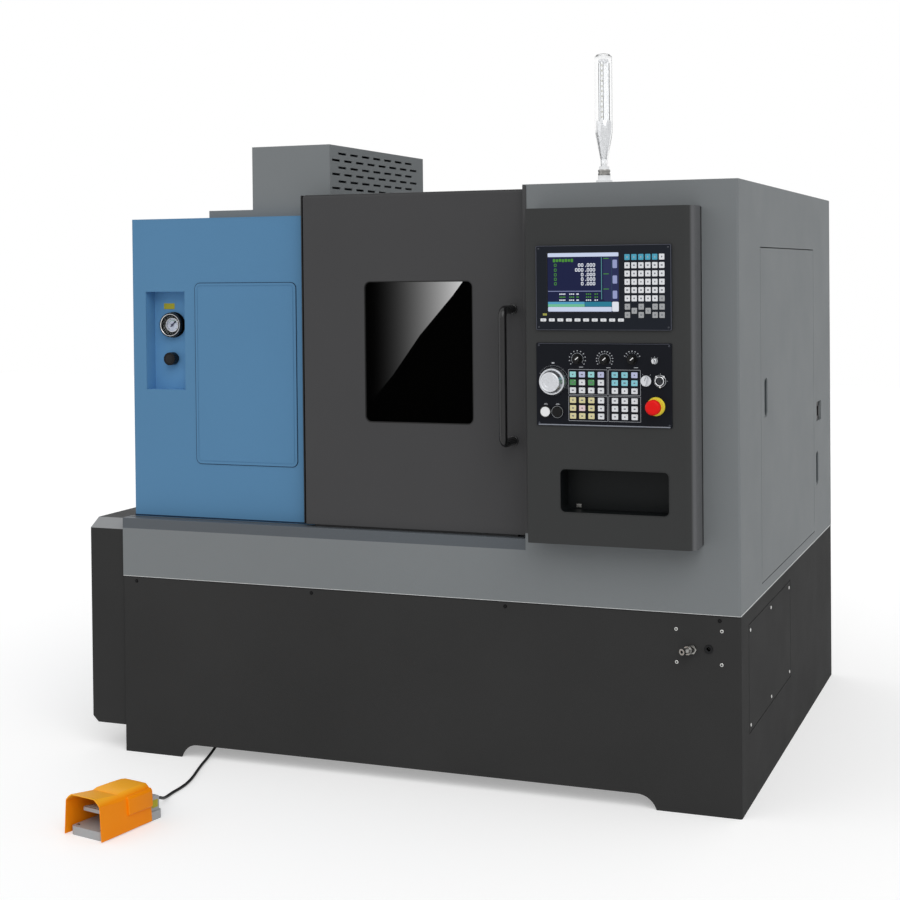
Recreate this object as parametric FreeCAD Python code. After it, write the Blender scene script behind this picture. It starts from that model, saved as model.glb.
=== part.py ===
"""CNC turning lathe: enclosed slant-bed chucking lathe with foot switch.

Millimetres. X runs along the spindle to the machine's right side, Y to the back, Z up.
The origin is the middle of the machine's outline on the floor, foot switch and cable apart.
"""
import math
import os

import FreeCAD
import Part

Vec = FreeCAD.Vector

# ---------------------------------------------------------------- driving dimensions
# whole machine
BODY_W = 2010.0            # cabinet, left side to right side
BODY_D = 1750.0            # cabinet, front to back
BASE_H = 570.0             # floor to the top edge of the black base
SEAM_H = 775.0             # floor to the seam above the grey fascia
LOW_ROOF_H = 1725.0        # roof over the headstock and the working space
HIGH_ROOF_H = LOW_ROOF_H + 74.0  # roof over the control bay
CONTROL_BAY_W = 634.0      # grey bay that carries the console
UPPER_INSET = 15.0         # left side of the upper housing, in from the base
FASCIA_D = 42.0            # depth of the folded band under the housing
FRONT_SET_BACK = 54.0      # headstock cover, back from the front plane
SHEET = 3.0                # cabinet sheet
GAP = 0.3                  # running gap between pieces that slide or swing
WELD_GAP = 0.1             # root gap of sheets welded face to face
REVEAL = 3.0               # visible joint round doors and covers
RUN_FIT = 0.05             # radial clearance of shafts in their bores

# base
PLINTH_WALL = 6.0
PLINTH_FLANGE = 30.0
CORNER_R = 6.0             # front right corner of base, fascia and housing
FOOT_GAP_H = 42.0
LEFT_FOOT_W = 206.0
RIGHT_FOOT_W = 243.0
FOOT_CURVE_R = 60.0
CROSS_MEMBER_Y = 160.0     # cross member in the base, back from the front plane
CROSS_MEMBER_W = 60.0
CROSS_MEMBER_H = 80.0
ACCESS_Y0 = 111.0          # screwed plate on the base's right side
ACCESS_Y1 = 823.0
ACCESS_Z0 = 211.0
ACCESS_Z1 = BASE_H - 42.0
GROOVE_W = 4.0
GROOVE_D = 1.5

# bolted cover over the spindle motor, on the left side
MOTOR_COVER_OUT = 128.0
MOTOR_COVER_FRONT = 10.0
MOTOR_COVER_D = 1000.0
MOTOR_COVER_Z0 = 82.0
MOTOR_COVER_Z1 = 748.0
MOTOR_COVER_BEVEL_D = 48.0
MOTOR_COVER_BEVEL_H = 28.0
MOTOR_COVER_CHAMFER = 20.0

# sliding door and its rail
RAIL_Z0 = 726.0
RAIL_TOP = 759.0
RAIL_D = FRONT_SET_BACK - 2.0
RAIL_SLOT_W = 8.0
RAIL_SLOT_D = 14.0
DOOR_W = 722.0
DOOR_TOP = LOW_ROOF_H + 62.0
DOOR_T = 30.0
DOOR_SKIN = 2.5
DOOR_LIFT = 8.0            # gap between rail and door
DOOR_SET_BACK = 18.0
DOOR_CORNER_R = 4.0
DOOR_TOP_R = 10.0
DOOR_TRAVEL = 640.0
WINDOW_W = 354.0
WINDOW_H = 431.0
WINDOW_RIGHT = 162.0       # window's right edge, in from the door's right edge
WINDOW_Z0 = 1088.0
WINDOW_R = 20.0
GLASS_T = 6.0
GLASS_LAP = 10.0
HANDLE_BAR_R = 12.5
HANDLE_H = 414.0
HANDLE_OUT = 92.0
HANDLE_BEND_R = 24.0
HANDLE_RIGHT = 37.0        # handle's feet, in from the door's right edge
HANDLE_Z0 = 1032.0
DOORWAY_SIDE = 45.0        # doorway's right edge, in from the door's edge
HEADER_D = 34.0            # header over the doorway
HEADER_Z1 = LOW_ROOF_H + 54.0
GUIDE_Z = LOW_ROOF_H + 28.0  # guide block on the header, in the door's upper channel
GUIDE_H = 14.0
GUIDE_L = 50.0
GUIDE_IN = 6.0
GUIDE_REACH = 12.0
DOORWAY_Z0 = 800.0
DOORWAY_Z1 = LOW_ROOF_H - 33.0
CHUTE_FOLD = 110.0         # chip chute's fold, back from its front edge

# blue headstock cover with its niche and screwed access cover
COVER_W = 651.0
COVER_D = 1000.0
NICHE_LEFT = 49.0
NICHE_W = 144.0
NICHE_Z0 = 1173.0
NICHE_Z1 = 1490.0
NICHE_D = 55.0
ACCESS_COVER_LEFT = 233.0
ACCESS_COVER_W = 359.0
ACCESS_COVER_Z0 = 938.0
ACCESS_COVER_Z1 = 1516.0
ACCESS_COVER_R = 18.0
ACCESS_COVER_PROUD = 2.5
BAR_HOLE_R = 34.0

# pressure gauge and regulator in the niche
GAUGE_R = 42.0
GAUGE_DEPTH = 24.0
GAUGE_Z = 1381.0
DIAL_R = 33.0
NEEDLE_REST = 45.0         # needle's heading at rest, at working pressure
REGULATOR_KNOB_R = 21.0
REGULATOR_KNOB_H = 26.0
REGULATOR_Z = 1271.0
REGULATOR_BODY = 46.0

# console
CONSOLE_OUT = 100.0
CONSOLE_LEFT = 40.0        # in from the control bay's left edge
CONSOLE_W = 489.0
CONSOLE_Z0 = 766.0
CONSOLE_Z1 = 1724.0
CONSOLE_SHEET = 2.5
CONSOLE_EDGE_R = 26.0
CONSOLE_EDGE_R_LEFT = 6.0
POCKET_LEFT = 99.0
POCKET_W = 317.0
POCKET_Z0 = 858.0
POCKET_H = 124.0
POCKET_D = 80.0
POCKET_R = 15.0

UNIT_LEFT = 34.0           # control unit's bezel, in from the console's left edge
UNIT_W = 394.0
UNIT_H = 240.0
UNIT_Z0 = 1377.0
UNIT_PROUD = 7.0
UNIT_BODY_D = 55.0
UNIT_R = 5.0
SCREEN_LEFT = 35.0
SCREEN_TOP = 21.0
SCREEN_W = 209.0
SCREEN_H = 168.0
SCREEN_T = 3.0
SCREEN_SUNK = 1.5
KEY_COLS = 6
KEY_ROWS = 8
KEY_LEFT = 268.7           # centre of the first key column
KEY_TOP = 35.0
KEY_PITCH_X = 19.75
KEY_PITCH_Z = 23.1
KEY_W = 15.2
KEY_H = 16.5
KEY_PROUD = 1.6
SOFT_KEYS = 10
SOFT_KEY_LEFT = 22.0
SOFT_KEY_TOP = 211.0
SOFT_KEY_PITCH = 25.3
SOFT_KEY_W = 17.0
SOFT_KEY_H = 8.5

PANEL_LEFT = 33.0          # operator panel, in from the console's left edge
PANEL_W = 394.0
PANEL_H = 236.0
PANEL_Z0 = 1105.0
PANEL_PROUD = 4.0
PANEL_BODY_D = 45.0
BLOCK_LEFT = 108.0         # centre of the first column of panel keys
BLOCK_TOP = 89.3
BLOCK_PITCH_X = 26.97
BLOCK_PITCH_Z = 22.4
BLOCK_COLS = (0.0, 1.0, 2.0, 3.05, 4.55, 5.6, 6.65)
BLOCK_ROWS = (0.0, 1.0, 2.0, 3.25, 4.25, 5.25)
PANEL_KEY_W = 18.0
PANEL_KEY_H = 16.0

# controls: place on the panel (from its left edge, down from its top edge)
WHEEL_AT = (49.5, 110.0)
WHEEL_R = 41.0
WHEEL_FACE_R = 28.0
WHEEL_H = 34.0
KNOB_AT = ((121.5, 46.0), (201.5, 47.0), (281.0, 46.0))
KNOB_R = 14.0
KNOB_H = 18.0
SELECTOR_AT = (322.0, 104.5)
SELECTOR_R = 15.0
SELECTOR_H = 22.0
LOCK_AT = (361.5, 104.5)
LOCK_R = 16.5
LOCK_H = 12.0
KEY_SWITCH_AT = (345.0, 49.0)
KEY_SWITCH_R = 6.5
KEY_SWITCH_H = 9.0
START_AT = (27.0, 196.5)
HOLD_AT = (62.5, 196.5)
BUTTON_R = 14.0
BUTTON_H = 12.0
BUTTON_TRAVEL = 4.0
BUTTON_RING = 2.5
ESTOP_AT = (348.0, 176.0)
ESTOP_RING_R = 25.0
ESTOP_HEAD_R = 21.5
ESTOP_REACH = 48.0         # head's crown, out from the console's face
ESTOP_TRAVEL = 6.0
SHAFT_R = 3.0
SHAFT_IN = 20.0            # control shafts reach this far behind the console's face

# roof: vent hood and tower lamp
HOOD_LEFT = 437.0          # in from the cabinet's left side
HOOD_W = 272.0
HOOD_FRONT = 96.0
HOOD_D = 776.0
HOOD_H = 199.0
HOOD_TRAY_LEFT = 158.0     # tray under the hood reaches this far left of it
HOOD_TRAY_H = 24.0
SLOT_ROWS = 7
SLOT_TOP = 25.0
SLOT_ROW_PITCH = 22.0
SLOT_PITCH = 91.0
SLOT_L = 60.0
SLOT_H = 7.0
SLOT_FIRST = 18.0          # first slot of the longer rows, from the hood's front
SLOT_SHIFT = 47.0
LAMP_X = 411.0             # in from the right side
LAMP_Y = 90.0              # back from the front plane
LAMP_R = 26.0
LAMP_WALL = 3.0
LAMP_TUBE_L = 228.0
LAMP_NECK_L = 82.0
LAMP_NECK_R = 11.0
LAMP_FOOT_R = 24.0
LAMP_FOOT_H = 68.0
LAMP_CORE_R = 17.0
LAMP_CORE_L = 170.0
LAMP_CORE_UP = 34.0        # strips start this far above the neck
LAMP_RIB_W = 7.0

# side service door and rear electrical cabinet
SERVICE_Y0 = 326.0
SERVICE_Y1 = 1349.0
SERVICE_Z0 = 604.0
SERVICE_Z1 = 1611.0
SWING_DOOR_T = 20.0
PULL_L = 118.0
PULL_W = 66.0
PULL_D = 14.0
PULL_R = 18.0
PULL_DISH_D = 3.0
PULL_SLOT_W = 28.0         # deep finger slot along the dish's rear edge
PULL_SLOT_EDGE = 4.0       # dish round the slot
PULL_UP = 552.0            # recessed pull's middle, up from the service door's lower edge
PULL_IN = 41.0             # recessed pull, in from the door's free edge
REAR_PULL_Y = 1412.0
REAR_PULL_Z = 825.0
SWITCH_RECESS_Y = 1462.0
SWITCH_RECESS_Z = 1028.0
SWITCH_RECESS_W = 106.0
SWITCH_RECESS_H = 70.0
RECESS_D = 10.0
CABINET_D = 300.0
CABINET_DOOR_X0 = 420.0    # rear cabinet door, in from the right side
CABINET_DOOR_W = 860.0
CABINET_DOOR_Z0 = 700.0
CABINET_DOOR_H = 940.0
LIP_W = 14.0

# spindle line
SPINDLE_Y = 480.0          # back from the front plane
SPINDLE_Z = 1080.0
SPINDLE_BORE_R = 26.0
SPINDLE_R = 45.0
NOSE_R = 70.0
NOSE_T = 22.0
NOSE_X = 795.0             # nose face, in from the cabinet's left side
HEADSTOCK_L = 400.0
HEADSTOCK_HALF_W = 170.0
HEADSTOCK_SEAT_Z = 800.0
HEADSTOCK_FLANGE = 60.0
BEARING_LAND = 60.0
CHUCK_R = 84.0
CHUCK_L = 90.0
JAW_W = 24.0
JAW_L = 46.0
JAW_INNER_R = 32.0
JAW_FOOT_H = 26.0
JAW_STAND = 36.0
JAW_STROKE = 2.7
PULLEY_R = 100.0
PULLEY_W = 55.0
CYLINDER_R = 70.0
CYLINDER_L = 205.0
SPINDLE_TAIL = 15.0

# spindle motor and belt
MOTOR_Z = 400.0
MOTOR_HALF = 105.0
MOTOR_L = 350.0
MOTOR_PULLEY_R = 70.0
MOTOR_SHAFT_R = 19.0
MOTOR_PLATE_T = 20.0
MOTOR_PLATE_HALF = 140.0
ARM_T = 25.0
BELT_T = 6.0
BELT_W = 45.0

# slant bed; t runs up the slope, n away from it, both from the spindle's centre line
SLANT = 35.0
WAY_N = -330.0
BED_T0 = -60.0
BED_T1 = 560.0
BED_RIGHT = 250.0          # bed's right end, in from the cabinet's right side
BED_LEFT = 350.0           # bed's left end, in from the cabinet's left side
BED_FRONT_Y = 300.0
BED_FOOT_H = 40.0
BED_PAD_R = 45.0
BED_WALL = 40.0
BED_BAYS = 4
WAY_W = 55.0
WAY_H = 24.0
WAY_EDGE = 22.0
SADDLE_L = 320.0
SADDLE_H = 80.0
SADDLE_HOME = 340.0        # saddle's right end at home, in from the right side
SADDLE_TRAVEL = 340.0
SLIDE_L = 240.0
SLIDE_H = 80.0
SLIDE_T_LEN = 330.0
SLIDE_HOME_T = 235.0
SLIDE_TRAVEL = 185.0
CROSS_WAY_W = 36.0
CROSS_WAY_H = 20.0
TURRET_T = 390.0           # turret's centre at home, up the slope
TURRET_HALF = 105.0
TURRET_HOUSING_L = 190.0
TURRET_DISC_R = 150.0
TURRET_DISC_T = 58.0
TURRET_STATIONS = 8
TOOL_REACH = 188.0
TOOL_W = 25.0
BLOCK_W = 62.0
BLOCK_H = 26.0
SCREW_R = 16.0
NUT_R = 27.0
SCREW_Z_T = 235.0          # lengthwise ball screw, up the slope
CROSS_SCREW_X = 120.0      # cross ball screw, from the saddle's left end
SERVO_HALF = 58.0
SERVO_L = 175.0

# coolant and air fittings and their screws on the front of the base
FITTING_X = 139.0          # in from the right side
FITTING_Z = BASE_H - 99.0
PORT_X = 92.0
PORT_Z = BASE_H - 96.0
PORT_R = 6.6
PORT_BOSS_R = 12.0
HOSE_TAIL_R = 9.0
HOSE_TAIL_L = 46.0
HOSE_TAIL_TURN = 25.0      # tail points this far to the left of straight out
SCREW_HEAD_R = 5.5
SCREW_HEAD_H = 2.0
SCREW_SHANK_R = 2.5
FASCIA_SCREW_X = (1960.0, 1334.0, 699.0, 60.0)
FASCIA_SCREW_Z = BASE_H - 14.0
FITTING_SCREWS = ((185.0, BASE_H - 45.0), (54.0, BASE_H - 43.0), (184.0, BASE_H - 139.0),
                  (55.0, BASE_H - 138.0))
ACCESS_SCREW_Y = (134.0, 465.0, 794.0)
ACCESS_SCREW_Z = (ACCESS_Z0 + 22.0, ACCESS_Z1 - 21.0)

# foot switch on the floor in front, and its cable
SWITCH_CORNER = (-1595.0, -772.0)  # front right corner, from the right side and front
SWITCH_TURN = 12.0
GUARD_W = 144.0
GUARD_H = 130.0
GUARD_L = 205.0
GUARD_T = 2.5
GUARD_BEVEL = 26.0
GUARD_BLOCK_OUT = 7.0
SWITCH_BASE_W = 118.0
SWITCH_BASE_L = 250.0
SWITCH_BASE_H = 24.0
PEDAL_W = 92.0
PEDAL_L = 120.0
PEDAL_T = 10.0
PEDAL_SWING = 8.0
GLAND_R = 9.0
GLAND_L = 18.0
CABLE_R = 4.5
CABLE_Z = 30.0
CABLE_GLAND_X = 1719.0     # gland on the cross member, in from the right side
# places of the cable's bends: in from the right side, back from the front, height
CABLE_BENDS = ((1615.0, -424.0, 16.0), (1629.0, -383.0, 5.5), (1635.0, -336.0, 4.5),
               (1634.0, -283.0, 4.5), (1642.0, -226.0, 4.5), (1658.0, -169.0, 4.5),
               (1677.0, -112.0, 4.5), (1694.0, -55.0, 4.5), (1708.0, 2.0, 5.5),
               (1716.0, 50.0, 14.0), (1719.0, 96.0, 30.0))

# ---------------------------------------------------------------- planes of the frame
RIGHT_X = (BODY_W + MOTOR_COVER_OUT + SCREW_HEAD_H) / 2 - SCREW_HEAD_H
LEFT_X = RIGHT_X - BODY_W
FRONT_Y = (CONSOLE_OUT + ESTOP_REACH - BODY_D) / 2
REAR_Y = FRONT_Y + BODY_D
UPPER_LEFT_X = LEFT_X + UPPER_INSET
BAY_X = RIGHT_X - CONTROL_BAY_W
COVER_Y = FRONT_Y + FRONT_SET_BACK
CONSOLE_Y = FRONT_Y - CONSOLE_OUT
CONSOLE_X = BAY_X + CONSOLE_LEFT
DOOR_X1 = BAY_X - REVEAL
DOOR_X0 = DOOR_X1 - DOOR_W
DOOR_Y = FRONT_Y + DOOR_SET_BACK
DOOR_Z0 = RAIL_TOP + DOOR_LIFT
DOOR_Z1 = DOOR_TOP
DOORWAY_X1 = DOOR_X1 - DOORWAY_SIDE
COVER_X1 = UPPER_LEFT_X + COVER_W
CABINET_Y = REAR_Y - CABINET_D
UNIT_X = CONSOLE_X + UNIT_LEFT
UNIT_Z1 = UNIT_Z0 + UNIT_H
PANEL_X = CONSOLE_X + PANEL_LEFT
PANEL_Z1 = PANEL_Z0 + PANEL_H
PANEL_Y = CONSOLE_Y - PANEL_PROUD
SPIN_Y = FRONT_Y + SPINDLE_Y
NOSE_FACE_X = LEFT_X + NOSE_X
HEADSTOCK_X1 = NOSE_FACE_X - NOSE_T - 4.0
DOORWAY_X0 = HEADSTOCK_X1 + SHEET + 8.0
HEADSTOCK_X0 = HEADSTOCK_X1 - HEADSTOCK_L
PULLEY_X1 = HEADSTOCK_X0 - 25.0
PULLEY_X0 = PULLEY_X1 - PULLEY_W
TAIL_X = PULLEY_X0 - SPINDLE_TAIL
BED_X0 = LEFT_X + BED_LEFT
BED_X1 = RIGHT_X - BED_RIGHT
SADDLE_X1 = RIGHT_X - SADDLE_HOME
SADDLE_X0 = SADDLE_X1 - SADDLE_L
SLIDE_X0 = SADDLE_X0 + 40.0
SLIDE_X1 = SLIDE_X0 + SLIDE_L
SADDLE_TOP_N = WAY_N + SADDLE_H
SLIDE_TOP_N = SADDLE_TOP_N + SLIDE_H
SCREW_Z_N = WAY_N - NUT_R
SCREW_X_N = SADDLE_TOP_N
CROSS_SCREW_AT = SADDLE_X0 + CROSS_SCREW_X

PARTS = {}


def keep(name, shape):
    """File a finished sub-part under its name."""
    PARTS[name] = shape


# ---------------------------------------------------------------- shape helpers
def box(x0, x1, y0, y1, z0, z1):
    return Part.makeBox(x1 - x0, y1 - y0, z1 - z0, Vec(x0, y0, z0))


def rod(start, direction, radius, length):
    return Part.makeCylinder(radius, length, Vec(*start), Vec(*direction))


def cone(start, direction, r0, r1, length):
    return Part.makeCone(r0, r1, length, Vec(*start), Vec(*direction))


def prism(points, vector):
    """Closed polygon swept along a vector."""
    ring = [Vec(*p) for p in points]
    face = Part.Face(Part.makePolygon(ring + [ring[0]]))
    return face.extrude(Vec(*vector))


def fuse(shapes):
    first, rest = shapes[0], shapes[1:]
    return first.multiFuse(rest).removeSplitter() if rest else first


def edges_along(shape, axis, test=None):
    """Straight edges parallel to an axis, filtered by their middle point."""
    axis = Vec(*axis)
    found = []
    for edge in shape.Edges:
        if edge.Curve.TypeId != "Part::GeomLine":
            continue
        if abs(abs(edge.tangentAt(edge.FirstParameter).dot(axis)) - 1) > 1e-6:
            continue
        if test is None or test(edge.CenterOfMass):
            found.append(edge)
    return found


def rounded(shape, radius, axis, test=None):
    return shape.makeFillet(radius, edges_along(shape, axis, test))


def slanted(shape):
    """Place a shape drawn as (x, t, n) on the slant, about the spindle's centre line."""
    placed = shape.copy()
    placed.rotate(Vec(0, 0, 0), Vec(1, 0, 0), SLANT)
    placed.translate(Vec(0, SPIN_Y, SPINDLE_Z))
    return placed


def slant_point(t, n):
    """Y and Z of a point given on the slant."""
    a = math.radians(SLANT)
    y = SPIN_Y + t * math.cos(a) - n * math.sin(a)
    z = SPINDLE_Z + t * math.sin(a) + n * math.cos(a)
    return y, z


def slope_height(y, n):
    """Height of the plane n at a given Y."""
    a = math.radians(SLANT)
    t = (y - SPIN_Y + n * math.sin(a)) / math.cos(a)
    return SPINDLE_Z + t * math.sin(a) + n * math.cos(a)


def panel_point(place):
    """X and Z of a control, from its place on the operator panel."""
    return PANEL_X + place[0], PANEL_Z1 - place[1]


# ---------------------------------------------------------------- base and outer panels
def foot_gap(y0, y1):
    """Arched gap between the two feet of the base's front or back wall."""
    x0 = LEFT_X + LEFT_FOOT_W
    x1 = RIGHT_X - RIGHT_FOOT_W
    gap = box(x0, x1, y0, y1, -1.0, FOOT_GAP_H)
    low = FOOT_GAP_H - FOOT_CURVE_R
    for x, side in ((x0, 1), (x1, -1)):
        corner = box(min(x, x + side * FOOT_CURVE_R), max(x, x + side * FOOT_CURVE_R),
                     y0, y1, -1.0, FOOT_GAP_H)
        arc = rod((x + side * FOOT_CURVE_R, y0, low), (0, 1, 0), FOOT_CURVE_R, y1 - y0)
        gap = gap.cut(corner.cut(arc))
    return gap


def make_base_plinth():
    """Four wall plates under a flanged top frame, and the cross member between the sides."""
    body = box(LEFT_X, RIGHT_X, FRONT_Y, REAR_Y, 0.0, BASE_H)
    body = rounded(body, CORNER_R, (0, 0, 1))
    w = PLINTH_WALL
    body = body.cut(box(LEFT_X + w, RIGHT_X - w, FRONT_Y + w, REAR_Y - w, -1.0, BASE_H - w))
    f = PLINTH_FLANGE
    body = body.cut(box(LEFT_X + f, RIGHT_X - f, FRONT_Y + f, REAR_Y - f, 0.0, BASE_H + 1))
    body = body.cut(foot_gap(FRONT_Y - 1, FRONT_Y + w + 1))
    body = body.cut(foot_gap(REAR_Y - w - 1, REAR_Y + 1))
    body = body.cut(motor_window(LEFT_X - 1, LEFT_X + w + 1))
    body = body.cut(rod((RIGHT_X - PORT_X, FRONT_Y - 1, PORT_Z), (0, 1, 0), PORT_BOSS_R, w + 2))
    body = body.cut(rod((RIGHT_X - FITTING_X, FRONT_Y - 1, FITTING_Z), (0, 1, 0),
                        PORT_BOSS_R, w + 2))
    for start, inward in screw_places():
        begin = tuple(s - 0.5 * d for s, d in zip(start, inward))
        body = body.cut(rod(begin, inward, SCREW_SHANK_R, w + 1))
    ring = box(RIGHT_X - GROOVE_D, RIGHT_X + 1, FRONT_Y + ACCESS_Y0, FRONT_Y + ACCESS_Y1,
               ACCESS_Z0, ACCESS_Z1)
    g = GROOVE_W
    ring = ring.cut(box(RIGHT_X - 2, RIGHT_X + 2, FRONT_Y + ACCESS_Y0 + g, FRONT_Y + ACCESS_Y1 - g,
                        ACCESS_Z0 + g, ACCESS_Z1 - g))
    body = body.cut(ring).removeSplitter()
    # weld lines under the top frame and beside the front and back plates
    g = WELD_GAP
    seams = [box(LEFT_X - 1, RIGHT_X + 1, FRONT_Y - 1, REAR_Y + 1, BASE_H - w - g, BASE_H - w)]
    for y in (FRONT_Y + w, REAR_Y - w - g):
        seams.append(box(LEFT_X - 1, RIGHT_X + 1, y, y + g, -1.0, BASE_H - w))
    body = body.cut(Part.makeCompound(seams))
    member_y = FRONT_Y + CROSS_MEMBER_Y
    member = box(LEFT_X + w + g, RIGHT_X - w - g, member_y, member_y + CROSS_MEMBER_W,
                 SCREW_HEAD_H, CROSS_MEMBER_H)
    cable_x, _ = switch_exit_on_member()
    gland = rod((cable_x, member_y, CABLE_Z), (0, -1, 0), GLAND_R, GLAND_L)
    keep("base_plinth", Part.makeCompound(body.Solids + [member.fuse(gland).removeSplitter()]))


def motor_window(x0, x1):
    """Square window in the left walls for the spindle motor's tail."""
    half = MOTOR_HALF + 12.0
    return box(x0, x1, SPIN_Y - half, SPIN_Y + half, MOTOR_Z - half, MOTOR_Z + half)


def screw_places():
    """Start point and inward direction of every screw in the base's front and right side."""
    places = []
    for x in FASCIA_SCREW_X:
        places.append(((RIGHT_X - x, FRONT_Y, FASCIA_SCREW_Z), (0, 1, 0)))
    for x, z in FITTING_SCREWS:
        places.append(((RIGHT_X - x, FRONT_Y, z), (0, 1, 0)))
    for y in ACCESS_SCREW_Y:
        for z in ACCESS_SCREW_Z:
            places.append(((RIGHT_X, FRONT_Y + y, z), (-1, 0, 0)))
    return places


def make_panel_screws():
    solids = []
    for start, inward in screw_places():
        out = tuple(-d for d in inward)
        head = rod(start, out, SCREW_HEAD_R, SCREW_HEAD_H)
        rim = [e for e in head.Edges if e.Curve.TypeId == "Part::GeomCircle"
               and (e.Curve.Center - Vec(*start)).dot(Vec(*out)) > SCREW_HEAD_H / 2]
        head = head.makeFillet(SCREW_HEAD_H * 0.7, rim)
        shank = rod(start, inward, SCREW_SHANK_R, PLINTH_WALL + 2)
        solids.append(head.fuse(shank).removeSplitter())
    keep("panel_screws", Part.makeCompound(solids))


def make_coolant_fittings():
    """Hose tail on its hex, turned to the left, and a female threaded port beside it."""
    y = FRONT_Y
    x = RIGHT_X - FITTING_X
    turn = math.radians(HOSE_TAIL_TURN)
    way = Vec(-math.sin(turn), -math.cos(turn), 0)
    plug = rod((x, y + PLINTH_WALL + 8, FITTING_Z), (0, -1, 0), PORT_BOSS_R - RUN_FIT,
               PLINTH_WALL + 8)
    hexagon = []
    for k in range(6):
        a = math.radians(60 * k)
        hexagon.append((x + 14 * math.cos(a), y, FITTING_Z + 14 * math.sin(a)))
    nut = prism(hexagon, (0, -10, 0))
    root = Vec(x, y - 6, FITTING_Z)
    body = Part.makeCylinder(HOSE_TAIL_R + 1.5, 14, root, way)
    parts = [plug, nut, body]
    for k in range(3):
        at = root + way * (14 + k * 8)
        parts.append(Part.makeCone(HOSE_TAIL_R, HOSE_TAIL_R - 2, 8, at, way))
    end = root + way * 38
    parts.append(Part.makeCylinder(HOSE_TAIL_R, HOSE_TAIL_L - 38, end, way))
    tail = fuse(parts)
    tail = tail.cut(Part.makeCylinder(4.5, HOSE_TAIL_L - 6, root + way * 8, way))
    px = RIGHT_X - PORT_X
    port = rod((px, y + PLINTH_WALL + 10, PORT_Z), (0, -1, 0), PORT_BOSS_R - RUN_FIT,
               PLINTH_WALL + 13)
    port = port.cut(rod((px, y - 4, PORT_Z), (0, 1, 0), PORT_R, 22))
    keep("coolant_fittings", Part.makeCompound([tail, port]))


def make_motor_cover():
    """Folded cover over the spindle motor's tail, open towards the machine."""
    x0, x1 = LEFT_X - MOTOR_COVER_OUT, LEFT_X
    y0 = FRONT_Y + MOTOR_COVER_FRONT
    y1 = y0 + MOTOR_COVER_D

    def profile(inset):
        top = MOTOR_COVER_Z1 - inset
        slope = MOTOR_COVER_BEVEL_D - inset * 0.45
        drop = MOTOR_COVER_BEVEL_H + inset * 0.1
        return [(x0 + inset, y0 + inset, MOTOR_COVER_Z0 + inset),
                (x0 + inset, y1 - inset, MOTOR_COVER_Z0 + inset),
                (x0 + inset, y1 - inset, top),
                (x0 + inset, y0 + inset + slope, top),
                (x0 + inset, y0 + inset, top - drop)]

    outer = prism(profile(0.0), (MOTOR_COVER_OUT, 0, 0))
    inner = prism(profile(SHEET), (MOTOR_COVER_OUT, 0, 0))
    c = MOTOR_COVER_CHAMFER
    z0 = MOTOR_COVER_Z0

    def wedge(inset):
        edge = c + 0.42 * inset
        return prism([(x0 + inset - 9, y0 - 1, z0 + inset - 9), (x0 + inset + edge, y0 - 1, z0 + inset - 9),
                      (x0 + inset + edge, y0 - 1, z0 + inset), (x0 + inset, y0 - 1, z0 + inset + edge),
                      (x0 + inset - 9, y0 - 1, z0 + inset + edge)], (0, MOTOR_COVER_D + 2, 0))

    cover = outer.cut(wedge(0.0)).cut(inner.cut(wedge(SHEET)))
    vents = []
    for k in range(6):
        z = 330.0 + 26.0 * k
        vents.append(box(x0 - 1, x0 + SHEET + 1, SPIN_Y - 70, SPIN_Y + 70, z, z + 8))
    cover = cover.cut(Part.makeCompound(vents))
    keep("motor_cover", cover)


def right_corner(shape, radius):
    """Round the vertical edge at a box's front right corner."""
    low = shape.BoundBox.YMin
    high = shape.BoundBox.XMax
    return rounded(shape, radius, (0, 0, 1), lambda c: c.y < low + 1 and c.x > high - 1)


def make_front_fascia():
    """Folded grey band between the base and the upper housing."""
    y1 = FRONT_Y + FASCIA_D
    band = right_corner(box(LEFT_X, RIGHT_X, FRONT_Y, y1, BASE_H, SEAM_H), CORNER_R)
    hollow = box(LEFT_X - 1, RIGHT_X - SHEET, FRONT_Y + SHEET, y1 + 1, BASE_H + SHEET, SEAM_H - SHEET)
    band = band.cut(right_corner(hollow, CORNER_R - SHEET))
    under_rail = box(LEFT_X - 1, BAY_X, FRONT_Y - 1, y1 + 1, RAIL_Z0, SEAM_H + 1)
    shelf = box(LEFT_X, BAY_X, FRONT_Y, y1, RAIL_Z0 - SHEET, RAIL_Z0)
    stop = box(BAY_X, BAY_X + SHEET, FRONT_Y, y1, RAIL_Z0 - SHEET, SEAM_H)
    band = band.cut(under_rail).fuse(shelf).fuse(stop)
    keep("front_fascia", band.removeSplitter())


def make_door_rail():
    """Extruded lower rail with the slot that guides the door's tongue."""
    rail = box(LEFT_X, BAY_X - GAP, FRONT_Y, FRONT_Y + RAIL_D, RAIL_Z0, RAIL_TOP)
    rail = rounded(rail, 3.0, (1, 0, 0), lambda c: c.y < FRONT_Y + 1 and c.z > RAIL_TOP - 1)
    slot_y = DOOR_Y + DOOR_T / 2
    slot = box(LEFT_X - 1, BAY_X + 1, slot_y - RAIL_SLOT_W / 2, slot_y + RAIL_SLOT_W / 2,
               RAIL_TOP - RAIL_SLOT_D, RAIL_TOP + 1)
    keep("door_rail", rail.cut(slot))


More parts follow.
